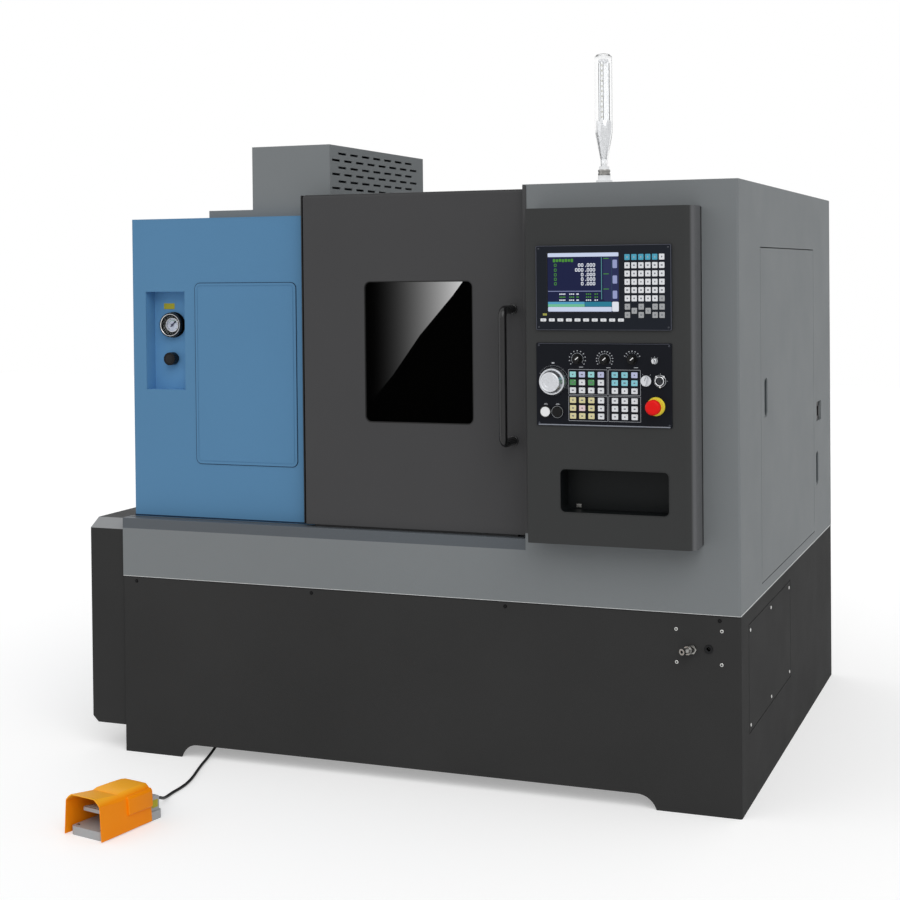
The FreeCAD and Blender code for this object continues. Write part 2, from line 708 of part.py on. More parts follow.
# ---------------------------------------------------------------- upper housing
def swing_frame(x0, x1, y0, y1, z0, z1, out_axis):
    """Return and lip round a swing-door opening: a rebate for the door's edge."""
    depth = SWING_DOOR_T + GAP
    if out_axis == "x":
        tray = box(x1 - depth - SHEET, x1, y0 - SHEET, y1 + SHEET, z0 - SHEET, z1 + SHEET)
        tray = tray.cut(box(x1 - depth, x1 + 1, y0, y1, z0, z1))
        hole = box(x1 - depth - SHEET - 1, x1, y0 + LIP_W, y1 - LIP_W, z0 + LIP_W, z1 - LIP_W)
    else:
        tray = box(x0 - SHEET, x1 + SHEET, y1 - depth - SHEET, y1, z0 - SHEET, z1 + SHEET)
        tray = tray.cut(box(x0, x1, y1 - depth, y1 + 1, z0, z1))
        hole = box(x0 + LIP_W, x1 - LIP_W, y1 - depth - SHEET - 1, y1, z0 + LIP_W, z1 - LIP_W)
    return tray.cut(hole)


def make_enclosure_shell():
    """Welded grey housing: control bay, roof, sides, rear cabinet and both swing-door frames."""
    s = SHEET
    bay = right_corner(box(BAY_X, RIGHT_X, FRONT_Y, REAR_Y, BASE_H, HIGH_ROOF_H), CORNER_R)
    wing = box(UPPER_LEFT_X, BAY_X, COVER_Y, REAR_Y, BASE_H, LOW_ROOF_H)
    shell = bay.fuse(wing).removeSplitter()
    inside = box(BAY_X + s, RIGHT_X - s, FRONT_Y + s, REAR_Y - s, BASE_H - 1, HIGH_ROOF_H - s)
    shell = shell.cut(right_corner(inside, CORNER_R - s))
    shell = shell.cut(box(UPPER_LEFT_X + s, BAY_X + s + 1, COVER_Y + s, REAR_Y - s,
                          BASE_H - 1, LOW_ROOF_H - s))
    fascia_zone = box(LEFT_X - 1, RIGHT_X + 1, FRONT_Y - 1, FRONT_Y + FASCIA_D, BASE_H - 1, SEAM_H)
    shell = shell.cut(fascia_zone)
    cover_zone = box(UPPER_LEFT_X - 1, COVER_X1, COVER_Y - 1, COVER_Y + COVER_D, BASE_H - 1,
                     LOW_ROOF_H + 1)
    shell = shell.cut(cover_zone)
    shell = shell.cut(box(DOORWAY_X0, DOORWAY_X1, COVER_Y - 1, COVER_Y + s + 1,
                          DOORWAY_Z0, DOORWAY_Z1))
    # header over the doorway, with the guide block that runs in the door's upper channel
    header = box(COVER_X1, BAY_X, COVER_Y, COVER_Y + HEADER_D, LOW_ROOF_H - s, HEADER_Z1)
    header = header.cut(box(COVER_X1 - 1, BAY_X + 1, COVER_Y + s, COVER_Y + HEADER_D + 1,
                            LOW_ROOF_H - s - 1, HEADER_Z1 - s))
    guide = box(COVER_X1 + GUIDE_IN, COVER_X1 + GUIDE_IN + GUIDE_L, DOOR_Y + DOOR_T - GUIDE_REACH,
                COVER_Y + s, GUIDE_Z - GUIDE_H / 2, GUIDE_Z + GUIDE_H / 2)
    shell = shell.fuse(header).fuse(guide)
    # partition in front of the electrical cabinet, and both swing-door openings
    shell = shell.fuse(box(UPPER_LEFT_X + s, RIGHT_X - s, CABINET_Y, CABINET_Y + s,
                           BASE_H, LOW_ROOF_H - s))
    shell = shell.cut(service_opening(-1.0)).fuse(
        swing_frame(RIGHT_X - 1, RIGHT_X, FRONT_Y + SERVICE_Y0, FRONT_Y + SERVICE_Y1,
                    SERVICE_Z0, SERVICE_Z1, "x"))
    shell = shell.cut(cabinet_opening(-1.0)).fuse(
        swing_frame(RIGHT_X - CABINET_DOOR_X0 - CABINET_DOOR_W, RIGHT_X - CABINET_DOOR_X0,
                    REAR_Y - 1, REAR_Y, CABINET_DOOR_Z0, CABINET_DOOR_Z0 + CABINET_DOOR_H, "y"))
    # recessed pull and switch recess behind the service door
    pull = pull_recess(FRONT_Y + REAR_PULL_Y, REAR_PULL_Z)
    pull_box = box(RIGHT_X - PULL_D - s, RIGHT_X, FRONT_Y + REAR_PULL_Y - PULL_W / 2 - 8,
                   FRONT_Y + REAR_PULL_Y + PULL_W / 2 + 8, REAR_PULL_Z - PULL_L / 2 - 8,
                   REAR_PULL_Z + PULL_L / 2 + 8)
    y0 = FRONT_Y + SWITCH_RECESS_Y - SWITCH_RECESS_W / 2
    z0 = SWITCH_RECESS_Z - SWITCH_RECESS_H / 2
    recess = box(RIGHT_X - RECESS_D, RIGHT_X + 1, y0, y0 + SWITCH_RECESS_W, z0, z0 + SWITCH_RECESS_H)
    recess_box = box(RIGHT_X - RECESS_D - s, RIGHT_X, y0 - s, y0 + SWITCH_RECESS_W + s,
                     z0 - s, z0 + SWITCH_RECESS_H + s)
    shell = shell.fuse(pull_box).fuse(recess_box).cut(pull).cut(recess)
    # holes for the lamp and for the console's wiring
    shell = shell.cut(rod((RIGHT_X - LAMP_X, FRONT_Y + LAMP_Y, HIGH_ROOF_H - 10), (0, 0, 1), 8.0, 20))
    shell = shell.cut(box(CONSOLE_X + 60, CONSOLE_X + CONSOLE_W - 60, FRONT_Y - 1, FRONT_Y + s + 1,
                          PANEL_Z0, UNIT_Z1))
    keep("enclosure_shell", shell.removeSplitter())


def service_opening(inset):
    return box(RIGHT_X - SHEET - 1, RIGHT_X + 1, FRONT_Y + SERVICE_Y0 + inset,
               FRONT_Y + SERVICE_Y1 - inset, SERVICE_Z0 + inset, SERVICE_Z1 - inset)


def cabinet_opening(inset):
    x1 = RIGHT_X - CABINET_DOOR_X0
    return box(x1 - CABINET_DOOR_W + inset, x1 - inset, REAR_Y - SHEET - 1, REAR_Y + 1,
               CABINET_DOOR_Z0 + inset, CABINET_DOOR_Z0 + CABINET_DOOR_H - inset)


def pull_recess(y, z):
    """Shallow dish with a deep finger slot along its rear edge, sunk into a right-hand face."""
    half_w, half_l = PULL_W / 2, PULL_L / 2
    dish = box(RIGHT_X - PULL_DISH_D, RIGHT_X + 1, y - half_w, y + half_w, z - half_l, z + half_l)
    y1 = y + half_w - PULL_SLOT_EDGE
    slot = box(RIGHT_X - PULL_D, RIGHT_X + 1, y1 - PULL_SLOT_W, y1,
               z - half_l + PULL_SLOT_EDGE, z + half_l - PULL_SLOT_EDGE)
    dish = rounded(dish, PULL_R, (1, 0, 0))
    return dish.fuse(rounded(slot, PULL_SLOT_W / 2 - 1, (1, 0, 0))).removeSplitter()


def make_service_door():
    """Flush folded door in the right side, with a recessed pull near its free edge."""
    r = REVEAL
    door = box(RIGHT_X - SWING_DOOR_T, RIGHT_X, FRONT_Y + SERVICE_Y0 + r, FRONT_Y + SERVICE_Y1 - r,
               SERVICE_Z0 + r, SERVICE_Z1 - r)
    mid_z = SERVICE_Z0 + PULL_UP
    door = door.cut(pull_recess(FRONT_Y + SERVICE_Y0 + PULL_IN + PULL_W / 2, mid_z))
    keep("service_door", door)


def make_cabinet_door():
    """Flush door of the electrical cabinet, in the back, with two quarter-turn lock faces."""
    r = REVEAL
    x1 = RIGHT_X - CABINET_DOOR_X0
    x0 = x1 - CABINET_DOOR_W
    z1 = CABINET_DOOR_Z0 + CABINET_DOOR_H
    door = box(x0 + r, x1 - r, REAR_Y - SWING_DOOR_T, REAR_Y, CABINET_DOOR_Z0 + r, z1 - r)
    for z in (CABINET_DOOR_Z0 + 160, z1 - 160):
        door = door.cut(rod((x0 + 40, REAR_Y - 3, z), (0, 1, 0), 14.0, 4))
    vents = []
    for k in range(9):
        z = CABINET_DOOR_Z0 + 90 + 14 * k
        vents.append(box(x0 + 250, x0 + 450, REAR_Y - SWING_DOOR_T - 1, REAR_Y + 1, z, z + 5))
    keep("cabinet_door", door.cut(Part.makeCompound(vents)))


def make_electrical_plate():
    """Mounting plate in the rear cabinet with its drives, contactors and wiring ducts."""
    x1 = RIGHT_X - CABINET_DOOR_X0 - 50
    x0 = x1 - CABINET_DOOR_W + 100
    y0 = CABINET_Y + SHEET
    z0 = CABINET_DOOR_Z0 + 50
    z1 = CABINET_DOOR_Z0 + CABINET_DOOR_H - 50
    parts = [box(x0, x1, y0, y0 + SHEET, z0, z1)]
    y = y0 + SHEET
    for k in range(3):
        parts.append(box(x0 + 60 + 130 * k, x0 + 160 + 130 * k, y, y + 160, z1 - 360, z1 - 60))
    parts.append(box(x0 + 480, x0 + 700, y, y + 190, z1 - 400, z1 - 60))
    for k in range(6):
        parts.append(box(x0 + 60 + 62 * k, x0 + 108 + 62 * k, y, y + 85, z0 + 250, z0 + 335))
    for z in (z0 + 20, z0 + 190, z0 + 395):
        parts.append(box(x0 + 20, x1 - 20, y, y + 60, z, z + 40))
    keep("electrical_plate", fuse(parts))


def make_headstock_cover():
    """Blue cover over the headstock: folded side and roof, front sheet, and the niche's tray."""
    s = SHEET
    x0, x1 = UPPER_LEFT_X, COVER_X1 - GAP
    y1 = COVER_Y + COVER_D - GAP
    z0 = BASE_H
    side = box(x0, x1, COVER_Y, y1, z0, LOW_ROOF_H)
    side = rounded(side, 3.0, (0, 0, 1), lambda c: c.y < COVER_Y + 1 and c.x < x0 + 1)
    side = side.cut(box(x0 + s, x1 + 1, COVER_Y - 1, y1 + 1, z0 - 1, LOW_ROOF_H - s))
    side = side.cut(rod((x0 - 1, SPIN_Y, SPINDLE_Z), (1, 0, 0), BAR_HOLE_R, s + 2))
    front = box(x0 + s + WELD_GAP, x1, COVER_Y, COVER_Y + s, z0, LOW_ROOF_H - s - WELD_GAP)
    nx0 = x0 + NICHE_LEFT
    nx1 = nx0 + NICHE_W
    front = front.cut(box(nx0, nx1, COVER_Y - 1, COVER_Y + s + 1, NICHE_Z0, NICHE_Z1))
    ax0 = x0 + ACCESS_COVER_LEFT + 20
    hole = box(ax0, ax0 + ACCESS_COVER_W - 40, COVER_Y - 1, COVER_Y + s + 1,
               ACCESS_COVER_Z0 + 20, ACCESS_COVER_Z1 - 20)
    back = COVER_Y + NICHE_D
    tray = box(nx0 - s, nx1 + s, COVER_Y + s + WELD_GAP, back + s, NICHE_Z0 - s, NICHE_Z1 + s)
    tray = tray.cut(box(nx0, nx1, COVER_Y, back, NICHE_Z0, NICHE_Z1))
    gx = niche_middle()
    tray = tray.cut(rod((gx, back - 1, GAUGE_Z), (0, 1, 0), 9.0, s + 2))
    tray = tray.cut(rod((gx, back - 1, REGULATOR_Z), (0, 1, 0), 12.0, s + 2))
    keep("headstock_cover", Part.makeCompound([side.removeSplitter(), front.cut(hole), tray]))


def make_access_cover():
    """Screwed cover with a pressed border, proud of the headstock cover."""
    x0 = UPPER_LEFT_X + ACCESS_COVER_LEFT
    x1 = x0 + ACCESS_COVER_W
    y0 = COVER_Y - ACCESS_COVER_PROUD
    plate = box(x0, x1, y0, COVER_Y, ACCESS_COVER_Z0, ACCESS_COVER_Z1)
    plate = rounded(plate, ACCESS_COVER_R, (0, 1, 0))
    edge = 7.0
    rim = box(x0 + edge, x1 - edge, y0 - 1, y0 + 1, ACCESS_COVER_Z0 + edge, ACCESS_COVER_Z1 - edge)
    rim = rounded(rim, ACCESS_COVER_R - edge, (0, 1, 0))
    core = box(x0 + edge + 3, x1 - edge - 3, y0 - 1, y0 + 1,
               ACCESS_COVER_Z0 + edge + 3, ACCESS_COVER_Z1 - edge - 3)
    core = rounded(core, ACCESS_COVER_R - edge - 3, (0, 1, 0))
    keep("access_cover", plate.cut(rim.cut(core)))


def niche_middle():
    return UPPER_LEFT_X + NICHE_LEFT + NICHE_W / 2


def make_air_unit():
    """Flanged pressure gauge and regulator body behind the niche, joined by their nipple."""
    x = niche_middle()
    back = COVER_Y + NICHE_D
    case = rod((x, back, GAUGE_Z), (0, -1, 0), GAUGE_R - 8, GAUGE_DEPTH)
    flange = rod((x, back, GAUGE_Z), (0, -1, 0), GAUGE_R, 3.0)
    bezel = rod((x, back - GAUGE_DEPTH + 6, GAUGE_Z), (0, -1, 0), GAUGE_R - 3, 8.0)
    gauge = case.fuse(flange).fuse(bezel)
    gauge = gauge.cut(rod((x, back - 8, GAUGE_Z), (0, -1, 0), DIAL_R, GAUGE_DEPTH))
    gauge = gauge.fuse(rod((x, back, GAUGE_Z), (0, -1, 0), 1.5, 14.0))
    y = back + SHEET
    stem = rod((x, back, GAUGE_Z), (0, 1, 0), 8.0, SHEET + 25)
    half = REGULATOR_BODY / 2
    block = box(x - half, x + half, y + 6, y + 6 + REGULATOR_BODY, REGULATOR_Z - 60, GAUGE_Z + 20)
    bonnet = rod((x, y + 6, REGULATOR_Z), (0, -1, 0), 11.0, SHEET + 6 + 8)
    unit = fuse([gauge, stem, block, bonnet])
    unit = unit.cut(rod((x, back - 9, REGULATOR_Z), (0, 1, 0), SHAFT_R + RUN_FIT, 21))
    keep("air_unit", unit)


def make_gauge_needle():
    x = niche_middle()
    y = COVER_Y + NICHE_D - 10.0
    hub = rod((x, y, GAUGE_Z), (0, -1, 0), 4.0, 2.0)
    a = math.radians(NEEDLE_REST)
    tip = Vec(math.cos(a), 0, math.sin(a))
    side = Vec(-math.sin(a), 0, math.cos(a))
    centre = Vec(x, y - 0.6, GAUGE_Z)
    corners = [centre - tip * 9 + side * 1.6, centre + tip * 27, centre - tip * 9 - side * 1.6]
    blade = prism([tuple(c) for c in corners], (0, -0.8, 0))
    needle = hub.fuse(blade).cut(rod((x, y + 1, GAUGE_Z), (0, -1, 0), 1.5 + RUN_FIT, 4))
    keep("gauge_needle", needle.removeSplitter())


def grip_knob(x, y, z, radius, height, lobes, depth):
    """Round knob with scallops round its grip, face towards the front."""
    knob = rod((x, y, z), (0, -1, 0), radius, height)
    rim = [e for e in knob.Edges if e.Curve.TypeId == "Part::GeomCircle"
           and e.Curve.Center.y < y - height / 2]
    knob = knob.makeFillet(min(2.0, height * 0.15), rim)
    cuts = []
    for k in range(lobes):
        a = 2 * math.pi * k / lobes
        cuts.append(rod((x + (radius + depth) * math.cos(a), y - 3, z + (radius + depth) * math.sin(a)),
                        (0, -1, 0), depth * 1.8, height))
    return knob.cut(Part.makeCompound(cuts))


def make_regulator_knob():
    x = niche_middle()
    y = COVER_Y + NICHE_D - 8 - GAP
    knob = grip_knob(x, y, REGULATOR_Z, REGULATOR_KNOB_R, REGULATOR_KNOB_H, 12, 1.4)
    shaft = rod((x, y, REGULATOR_Z), (0, 1, 0), SHAFT_R, 18)
    keep("regulator_knob", knob.fuse(shaft).removeSplitter())


def make_vent_hood():
    """Slotted hood standing on a low roof tray."""
    x0 = LEFT_X + HOOD_LEFT
    x1 = x0 + HOOD_W
    y0 = FRONT_Y + HOOD_FRONT
    y1 = y0 + HOOD_D
    z0 = LOW_ROOF_H
    z1 = z0 + HOOD_TRAY_H + HOOD_H
    s = SHEET
    tray = box(x0 - HOOD_TRAY_LEFT, x1, y0, y1, z0, z0 + HOOD_TRAY_H)
    hood = tray.fuse(box(x0, x1, y0, y1, z0 + HOOD_TRAY_H, z1)).removeSplitter()
    hood = hood.cut(box(x0 - HOOD_TRAY_LEFT + s, x1 - s, y0 + s, y1 - s, z0 - 1,
                        z0 + HOOD_TRAY_H - s))
    hood = hood.cut(box(x0 + s, x1 - s, y0 + s, y1 - s, z0 - 1, z1 - s))
    slots = []
    for row in range(SLOT_ROWS):
        short = row % 2 == 0
        start = y0 + SLOT_FIRST + (SLOT_SHIFT if short else 0.0)
        count = 7 if short else 8
        z = z1 - SLOT_TOP - row * SLOT_ROW_PITCH
        for k in range(count):
            y = start + k * SLOT_PITCH
            slots.append(box(x1 - s - 1, x1 + 1, y, y + SLOT_L, z - SLOT_H / 2, z + SLOT_H / 2))
    keep("vent_hood", hood.cut(Part.makeCompound(slots)))


def lamp_axis():
    return RIGHT_X - LAMP_X, FRONT_Y + LAMP_Y


def make_tower_lamp():
    """Clear lamp tube with a drawn-in neck, over a foot that carries the light strips."""
    x, y = lamp_axis()
    z0 = HIGH_ROOF_H
    foot = rod((x, y, z0), (0, 0, 1), LAMP_FOOT_R, 10)
    hexagon = []
    for k in range(6):
        a = math.radians(60 * k)
        hexagon.append((x + 19 * math.cos(a), y + 19 * math.sin(a), z0 + 10))
    nut = prism(hexagon, (0, 0, 14))
    post = rod((x, y, z0 + 24), (0, 0, 1), LAMP_NECK_R + 4, LAMP_FOOT_H - 24 - 18)
    pin = rod((x, y, z0 + LAMP_FOOT_H - 18), (0, 0, 1), LAMP_NECK_R - LAMP_WALL - RUN_FIT,
              LAMP_NECK_L + LAMP_CORE_UP + 18)
    stud = rod((x, y, z0 - 12), (0, 0, 1), 8.0 - RUN_FIT, 12)
    core_z = z0 + LAMP_FOOT_H + LAMP_NECK_L + LAMP_CORE_UP
    core_z1 = core_z + LAMP_CORE_L
    rib = LAMP_RIB_W / 2
    ribs = [rod((x, y, core_z), (0, 0, 1), 4.5, LAMP_CORE_L)]
    for k in range(3):
        fin = box(0, LAMP_CORE_R, -rib / 2, rib / 2, core_z, core_z1)
        strip = box(LAMP_CORE_R - 2, LAMP_CORE_R, -rib, rib, core_z, core_z1)
        blade = fin.fuse(strip)
        blade.rotate(Vec(0, 0, 0), Vec(0, 0, 1), 30 + 120 * k)
        blade.translate(Vec(x, y, 0))
        ribs.append(blade)
    keep("lamp_core", fuse([foot, nut, post, pin, stud] + ribs))
    neck_z = z0 + LAMP_FOOT_H - 18
    w = LAMP_WALL
    tube_z = z0 + LAMP_FOOT_H + LAMP_NECK_L
    top_z = tube_z + LAMP_TUBE_L
    dome = 8.0

    def outline(inset):
        base_z = neck_z if inset == 0 else neck_z - 1
        return [Vec(0, 0, base_z), Vec(LAMP_NECK_R - inset, 0, base_z),
                Vec(LAMP_NECK_R - inset, 0, z0 + LAMP_FOOT_H),
                Vec(LAMP_R - inset, 0, tube_z), Vec(LAMP_R - inset, 0, top_z - dome),
                Vec(LAMP_R - inset - (dome if inset == 0 else dome - 2), 0, top_z - inset),
                Vec(0, 0, top_z - inset)]

    def turned(points):
        ring = Part.makePolygon(points + [points[0]])
        solid = Part.Face(ring).revolve(Vec(0, 0, 0), Vec(0, 0, 1), 360)
        solid.translate(Vec(x, y, 0))
        return solid

    keep("lamp_tube", turned(outline(0.0)).cut(turned(outline(w))))


# ---------------------------------------------------------------- sliding door
def make_door():
    """Folded door panel with its tongue and upper hook, window, and pull handle."""
    x0, x1, y0 = DOOR_X0, DOOR_X1, DOOR_Y
    y1 = y0 + DOOR_T
    z0, z1 = DOOR_Z0, DOOR_Z1
    k = DOOR_SKIN
    wx1 = x1 - WINDOW_RIGHT
    wx0 = wx1 - WINDOW_W
    wz1 = WINDOW_Z0 + WINDOW_H
    panel = box(x0, x1, y0, y1, z0, z1)
    panel = rounded(panel, DOOR_CORNER_R, (0, 0, 1), lambda c: c.y < y0 + 1)
    panel = rounded(panel, DOOR_TOP_R, (0, 1, 0), lambda c: c.z > z1 - 1)
    hollow = box(x0 + k, x1 - k, y0 + k, y1 + 1, z0 + k, z1 - k)
    hollow = rounded(hollow, DOOR_TOP_R - k, (0, 1, 0), lambda c: c.z > z1 - k - 1)
    frame = box(wx0 - 25, wx1 + 25, y0, y1 + 2, WINDOW_Z0 - 25, wz1 + 25)
    panel = panel.cut(hollow.cut(frame))
    sight = rounded(box(wx0, wx1, y0 - 1, y1 + 2, WINDOW_Z0, wz1), WINDOW_R, (0, 1, 0))
    seat_y = y0 + 4.0
    lap = GLASS_LAP
    seat = box(wx0 - lap, wx1 + lap, seat_y, seat_y + GLASS_T, WINDOW_Z0 - lap, wz1 + lap)
    seat = rounded(seat, WINDOW_R + lap / 2, (0, 1, 0))
    behind = box(wx0 - lap, wx1 + lap, seat_y, y1 + 2, WINDOW_Z0 - lap, wz1 + lap)
    behind = rounded(behind, WINDOW_R + lap / 2, (0, 1, 0))
    panel = panel.cut(sight).cut(behind)
    slot_y = y0 + DOOR_T / 2
    tongue = box(x0 + 30, x1 - 30, slot_y - RAIL_SLOT_W / 2 + GAP, slot_y + RAIL_SLOT_W / 2 - GAP,
                 RAIL_TOP - RAIL_SLOT_D + GAP, z0 + k)
    parts = [panel, tongue]
    for low in (GUIDE_Z - GUIDE_H / 2 - GAP - k, GUIDE_Z + GUIDE_H / 2 + GAP):
        parts.append(box(x0 + k, x1 - k, y0 + k, y1, low, low + k))
    keep("door_panel", fuse(parts))
    keep("door_window", seat)
    make_door_handle(x1 - HANDLE_RIGHT)


def make_door_handle(foot_x):
    """Bent tube handle: two legs and a straight grip with round corners."""
    a = Vec(foot_x, DOOR_Y, HANDLE_Z0 + HANDLE_BAR_R)
    b = Vec(foot_x, DOOR_Y - HANDLE_OUT, HANDLE_Z0 + HANDLE_BAR_R)
    c = b + Vec(0, 0, HANDLE_H - 2 * HANDLE_BAR_R)
    d = a + Vec(0, 0, HANDLE_H - 2 * HANDLE_BAR_R)
    path = rounded_path([a, b, c, d], [HANDLE_BEND_R, HANDLE_BEND_R])
    keep("door_handle", swept_tube(path, HANDLE_BAR_R))


def rounded_path(points, radii):
    """Straight runs joined by tangent arcs, one radius for each inner point."""
    edges = []
    start = points[0]
    for k in range(1, len(points) - 1):
        before = (points[k] - points[k - 1]).normalize()
        after = (points[k + 1] - points[k]).normalize()
        turn = before.getAngle(after)
        cut = radii[k - 1] * math.tan(turn / 2)
        arc_in = points[k] - before * cut
        arc_out = points[k] + after * cut
        bisector = (after - before).normalize()
        centre = points[k] + bisector * (radii[k - 1] / math.cos(turn / 2))
        middle = centre - bisector * radii[k - 1]
        if (arc_in - start).Length > 1e-6:
            edges.append(Part.LineSegment(start, arc_in).toShape())
        edges.append(Part.Arc(arc_in, middle, arc_out).toShape())
        start = arc_out
    edges.append(Part.LineSegment(start, points[-1]).toShape())
    return Part.Wire(edges)


def swept_tube(path, radius):
    first = path.Edges[0]
    direction = first.tangentAt(first.FirstParameter)
    start = first.valueAt(first.FirstParameter)
    section = Part.Wire([Part.Circle(start, direction, radius).toShape()])
    return path.makePipeShell([section], True, False)


# ---------------------------------------------------------------- console
def make_console_housing():
    """Folded console with a rounded right edge, a storage pocket and two cut-outs."""
    x0, x1 = CONSOLE_X, CONSOLE_X + CONSOLE_W
    y0, y1 = CONSOLE_Y, FRONT_Y
    z0, z1 = CONSOLE_Z0, CONSOLE_Z1
    c = CONSOLE_SHEET

    def block(inset, back):
        body = box(x0 + inset, x1 - inset, y0 + inset, y1 + back, z0 + inset, z1 - inset)
        body = rounded(body, CONSOLE_EDGE_R - inset, (0, 0, 1),
                       lambda p: p.y < y0 + inset + 1 and p.x > x0 + 50)
        return rounded(body, CONSOLE_EDGE_R_LEFT - inset, (0, 0, 1),
                       lambda p: p.y < y0 + inset + 1 and p.x < x0 + 50)

    shell = block(0.0, 0.0).cut(block(c, 1.0))
    px0 = x0 + POCKET_LEFT
    px1 = px0 + POCKET_W
    pz1 = POCKET_Z0 + POCKET_H
    outer = box(px0 - c, px1 + c, y0, y0 + POCKET_D + c, POCKET_Z0 - c, pz1 + c)
    outer = rounded(outer, POCKET_R + c, (0, 1, 0))
    inner = box(px0, px1, y0 - 1, y0 + POCKET_D, POCKET_Z0, pz1)
    inner = rounded(inner, POCKET_R, (0, 1, 0))
    shell = shell.fuse(outer).cut(inner)
    shell = shell.cut(unit_cutout(GAP)).cut(panel_cutout(GAP))
    keep("console_housing", shell.removeSplitter())


def unit_cutout(extra):
    m = 12.0 - extra
    return box(UNIT_X + m, UNIT_X + UNIT_W - m, CONSOLE_Y - 1, CONSOLE_Y + CONSOLE_SHEET + 1,
               UNIT_Z0 + m, UNIT_Z1 - m)


def panel_cutout(extra):
    m = 10.0 - extra
    return box(PANEL_X + m, PANEL_X + PANEL_W - m, CONSOLE_Y - 1, CONSOLE_Y + CONSOLE_SHEET + 1,
               PANEL_Z0 + m, PANEL_Z1 - m)


def key_places():
    """Centres of the control unit's keys: a grid whose cursor keys sit half a row down."""
    places = []
    for row in range(KEY_ROWS):
        for col in range(KEY_COLS):
            if row >= KEY_ROWS - 2 and col in (1, 3):
                continue
            places.append((KEY_LEFT + col * KEY_PITCH_X, KEY_TOP + row * KEY_PITCH_Z))
    for col in (1, 3):
        places.append((KEY_LEFT + col * KEY_PITCH_X, KEY_TOP + (KEY_ROWS - 1.5) * KEY_PITCH_Z))
    return places


def make_control_unit():
    """Bezel with its housing behind, the screen in its window, and the short-travel keys."""
    y0 = CONSOLE_Y - UNIT_PROUD
    bezel = box(UNIT_X, UNIT_X + UNIT_W, y0, CONSOLE_Y, UNIT_Z0, UNIT_Z1)
    bezel = rounded(bezel, UNIT_R, (0, 1, 0))
    m = 12.0
    body = box(UNIT_X + m, UNIT_X + UNIT_W - m, CONSOLE_Y, CONSOLE_Y + UNIT_BODY_D,
               UNIT_Z0 + m, UNIT_Z1 - m)
    sx0 = UNIT_X + SCREEN_LEFT
    sz1 = UNIT_Z1 - SCREEN_TOP
    screen_y = y0 + SCREEN_SUNK
    window = box(sx0, sx0 + SCREEN_W, y0 - 1, screen_y + SCREEN_T, sz1 - SCREEN_H, sz1)
    unit = bezel.fuse(body).removeSplitter().cut(window)
    keep("control_unit", unit)
    keep("display_screen", box(sx0, sx0 + SCREEN_W, screen_y, screen_y + SCREEN_T,
                               sz1 - SCREEN_H, sz1))
    keys = []
    for u, v in key_places():
        x, z = UNIT_X + u, UNIT_Z1 - v
        keys.append(key_cap(x, z, y0, KEY_W, KEY_H))
    for k in range(SOFT_KEYS):
        x = UNIT_X + SOFT_KEY_LEFT + k * SOFT_KEY_PITCH
        keys.append(key_cap(x, UNIT_Z1 - SOFT_KEY_TOP, y0, SOFT_KEY_W, SOFT_KEY_H))
    keep("control_keys", Part.makeCompound(keys))


def key_cap(x, z, face_y, width, height):
    cap = box(x - width / 2, x + width / 2, face_y - KEY_PROUD, face_y,
              z - height / 2, z + height / 2)
    return rounded(cap, 1.5, (0, 1, 0))


def make_operator_panel():
    """Operator panel with its switch box behind, collars, and its keys."""
    plate = box(PANEL_X, PANEL_X + PANEL_W, PANEL_Y, CONSOLE_Y, PANEL_Z0, PANEL_Z1)
    plate = rounded(plate, 4.0, (0, 1, 0))
    m = 10.0
    back_y = CONSOLE_Y + PANEL_BODY_D
    body = box(PANEL_X + m, PANEL_X + PANEL_W - m, CONSOLE_Y, back_y, PANEL_Z0 + m, PANEL_Z1 - m)
    panel = plate.fuse(body)
    for place in (START_AT, HOLD_AT):
        x, z = panel_point(place)
        panel = panel.fuse(rod((x, PANEL_Y, z), (0, -1, 0), BUTTON_R + BUTTON_RING, 4.0))
    x, z = panel_point(ESTOP_AT)
    panel = panel.fuse(cone((x, PANEL_Y, z), (0, -1, 0), ESTOP_RING_R, ESTOP_RING_R - 3, 6.0))
    x, z = panel_point(LOCK_AT)
    panel = panel.fuse(rod((x, PANEL_Y, z), (0, -1, 0), LOCK_R, 5.0))
    for place in (START_AT, HOLD_AT):
        x, z = panel_point(place)
        panel = panel.cut(rod((x, PANEL_Y - 5, z), (0, 1, 0), BUTTON_R + GAP, 27))
    x, z = panel_point(ESTOP_AT)
    panel = panel.cut(rod((x, PANEL_Y - 7, z), (0, 1, 0), 9.0 + GAP, 37))
    shafts = list(KNOB_AT) + [WHEEL_AT, SELECTOR_AT, LOCK_AT, KEY_SWITCH_AT]
    for place in shafts:
        x, z = panel_point(place)
        panel = panel.cut(rod((x, PANEL_Y - 6, z), (0, 1, 0), SHAFT_R + RUN_FIT,
                              6 + PANEL_PROUD + SHAFT_IN + 2))
    keep("operator_panel", panel.removeSplitter())
    keys = []
    for row in BLOCK_ROWS:
        for col in BLOCK_COLS:
            x = PANEL_X + BLOCK_LEFT + col * BLOCK_PITCH_X
            z = PANEL_Z1 - BLOCK_TOP - row * BLOCK_PITCH_Z
            keys.append(key_cap(x, z, PANEL_Y, PANEL_KEY_W, PANEL_KEY_H))
    keep("panel_keys", Part.makeCompound(keys))


def with_shaft(body, place, face_y):
    x, z = panel_point(place)
    reach = CONSOLE_Y + SHAFT_IN - face_y
    return body.fuse(rod((x, face_y, z), (0, 1, 0), SHAFT_R, reach)).removeSplitter()


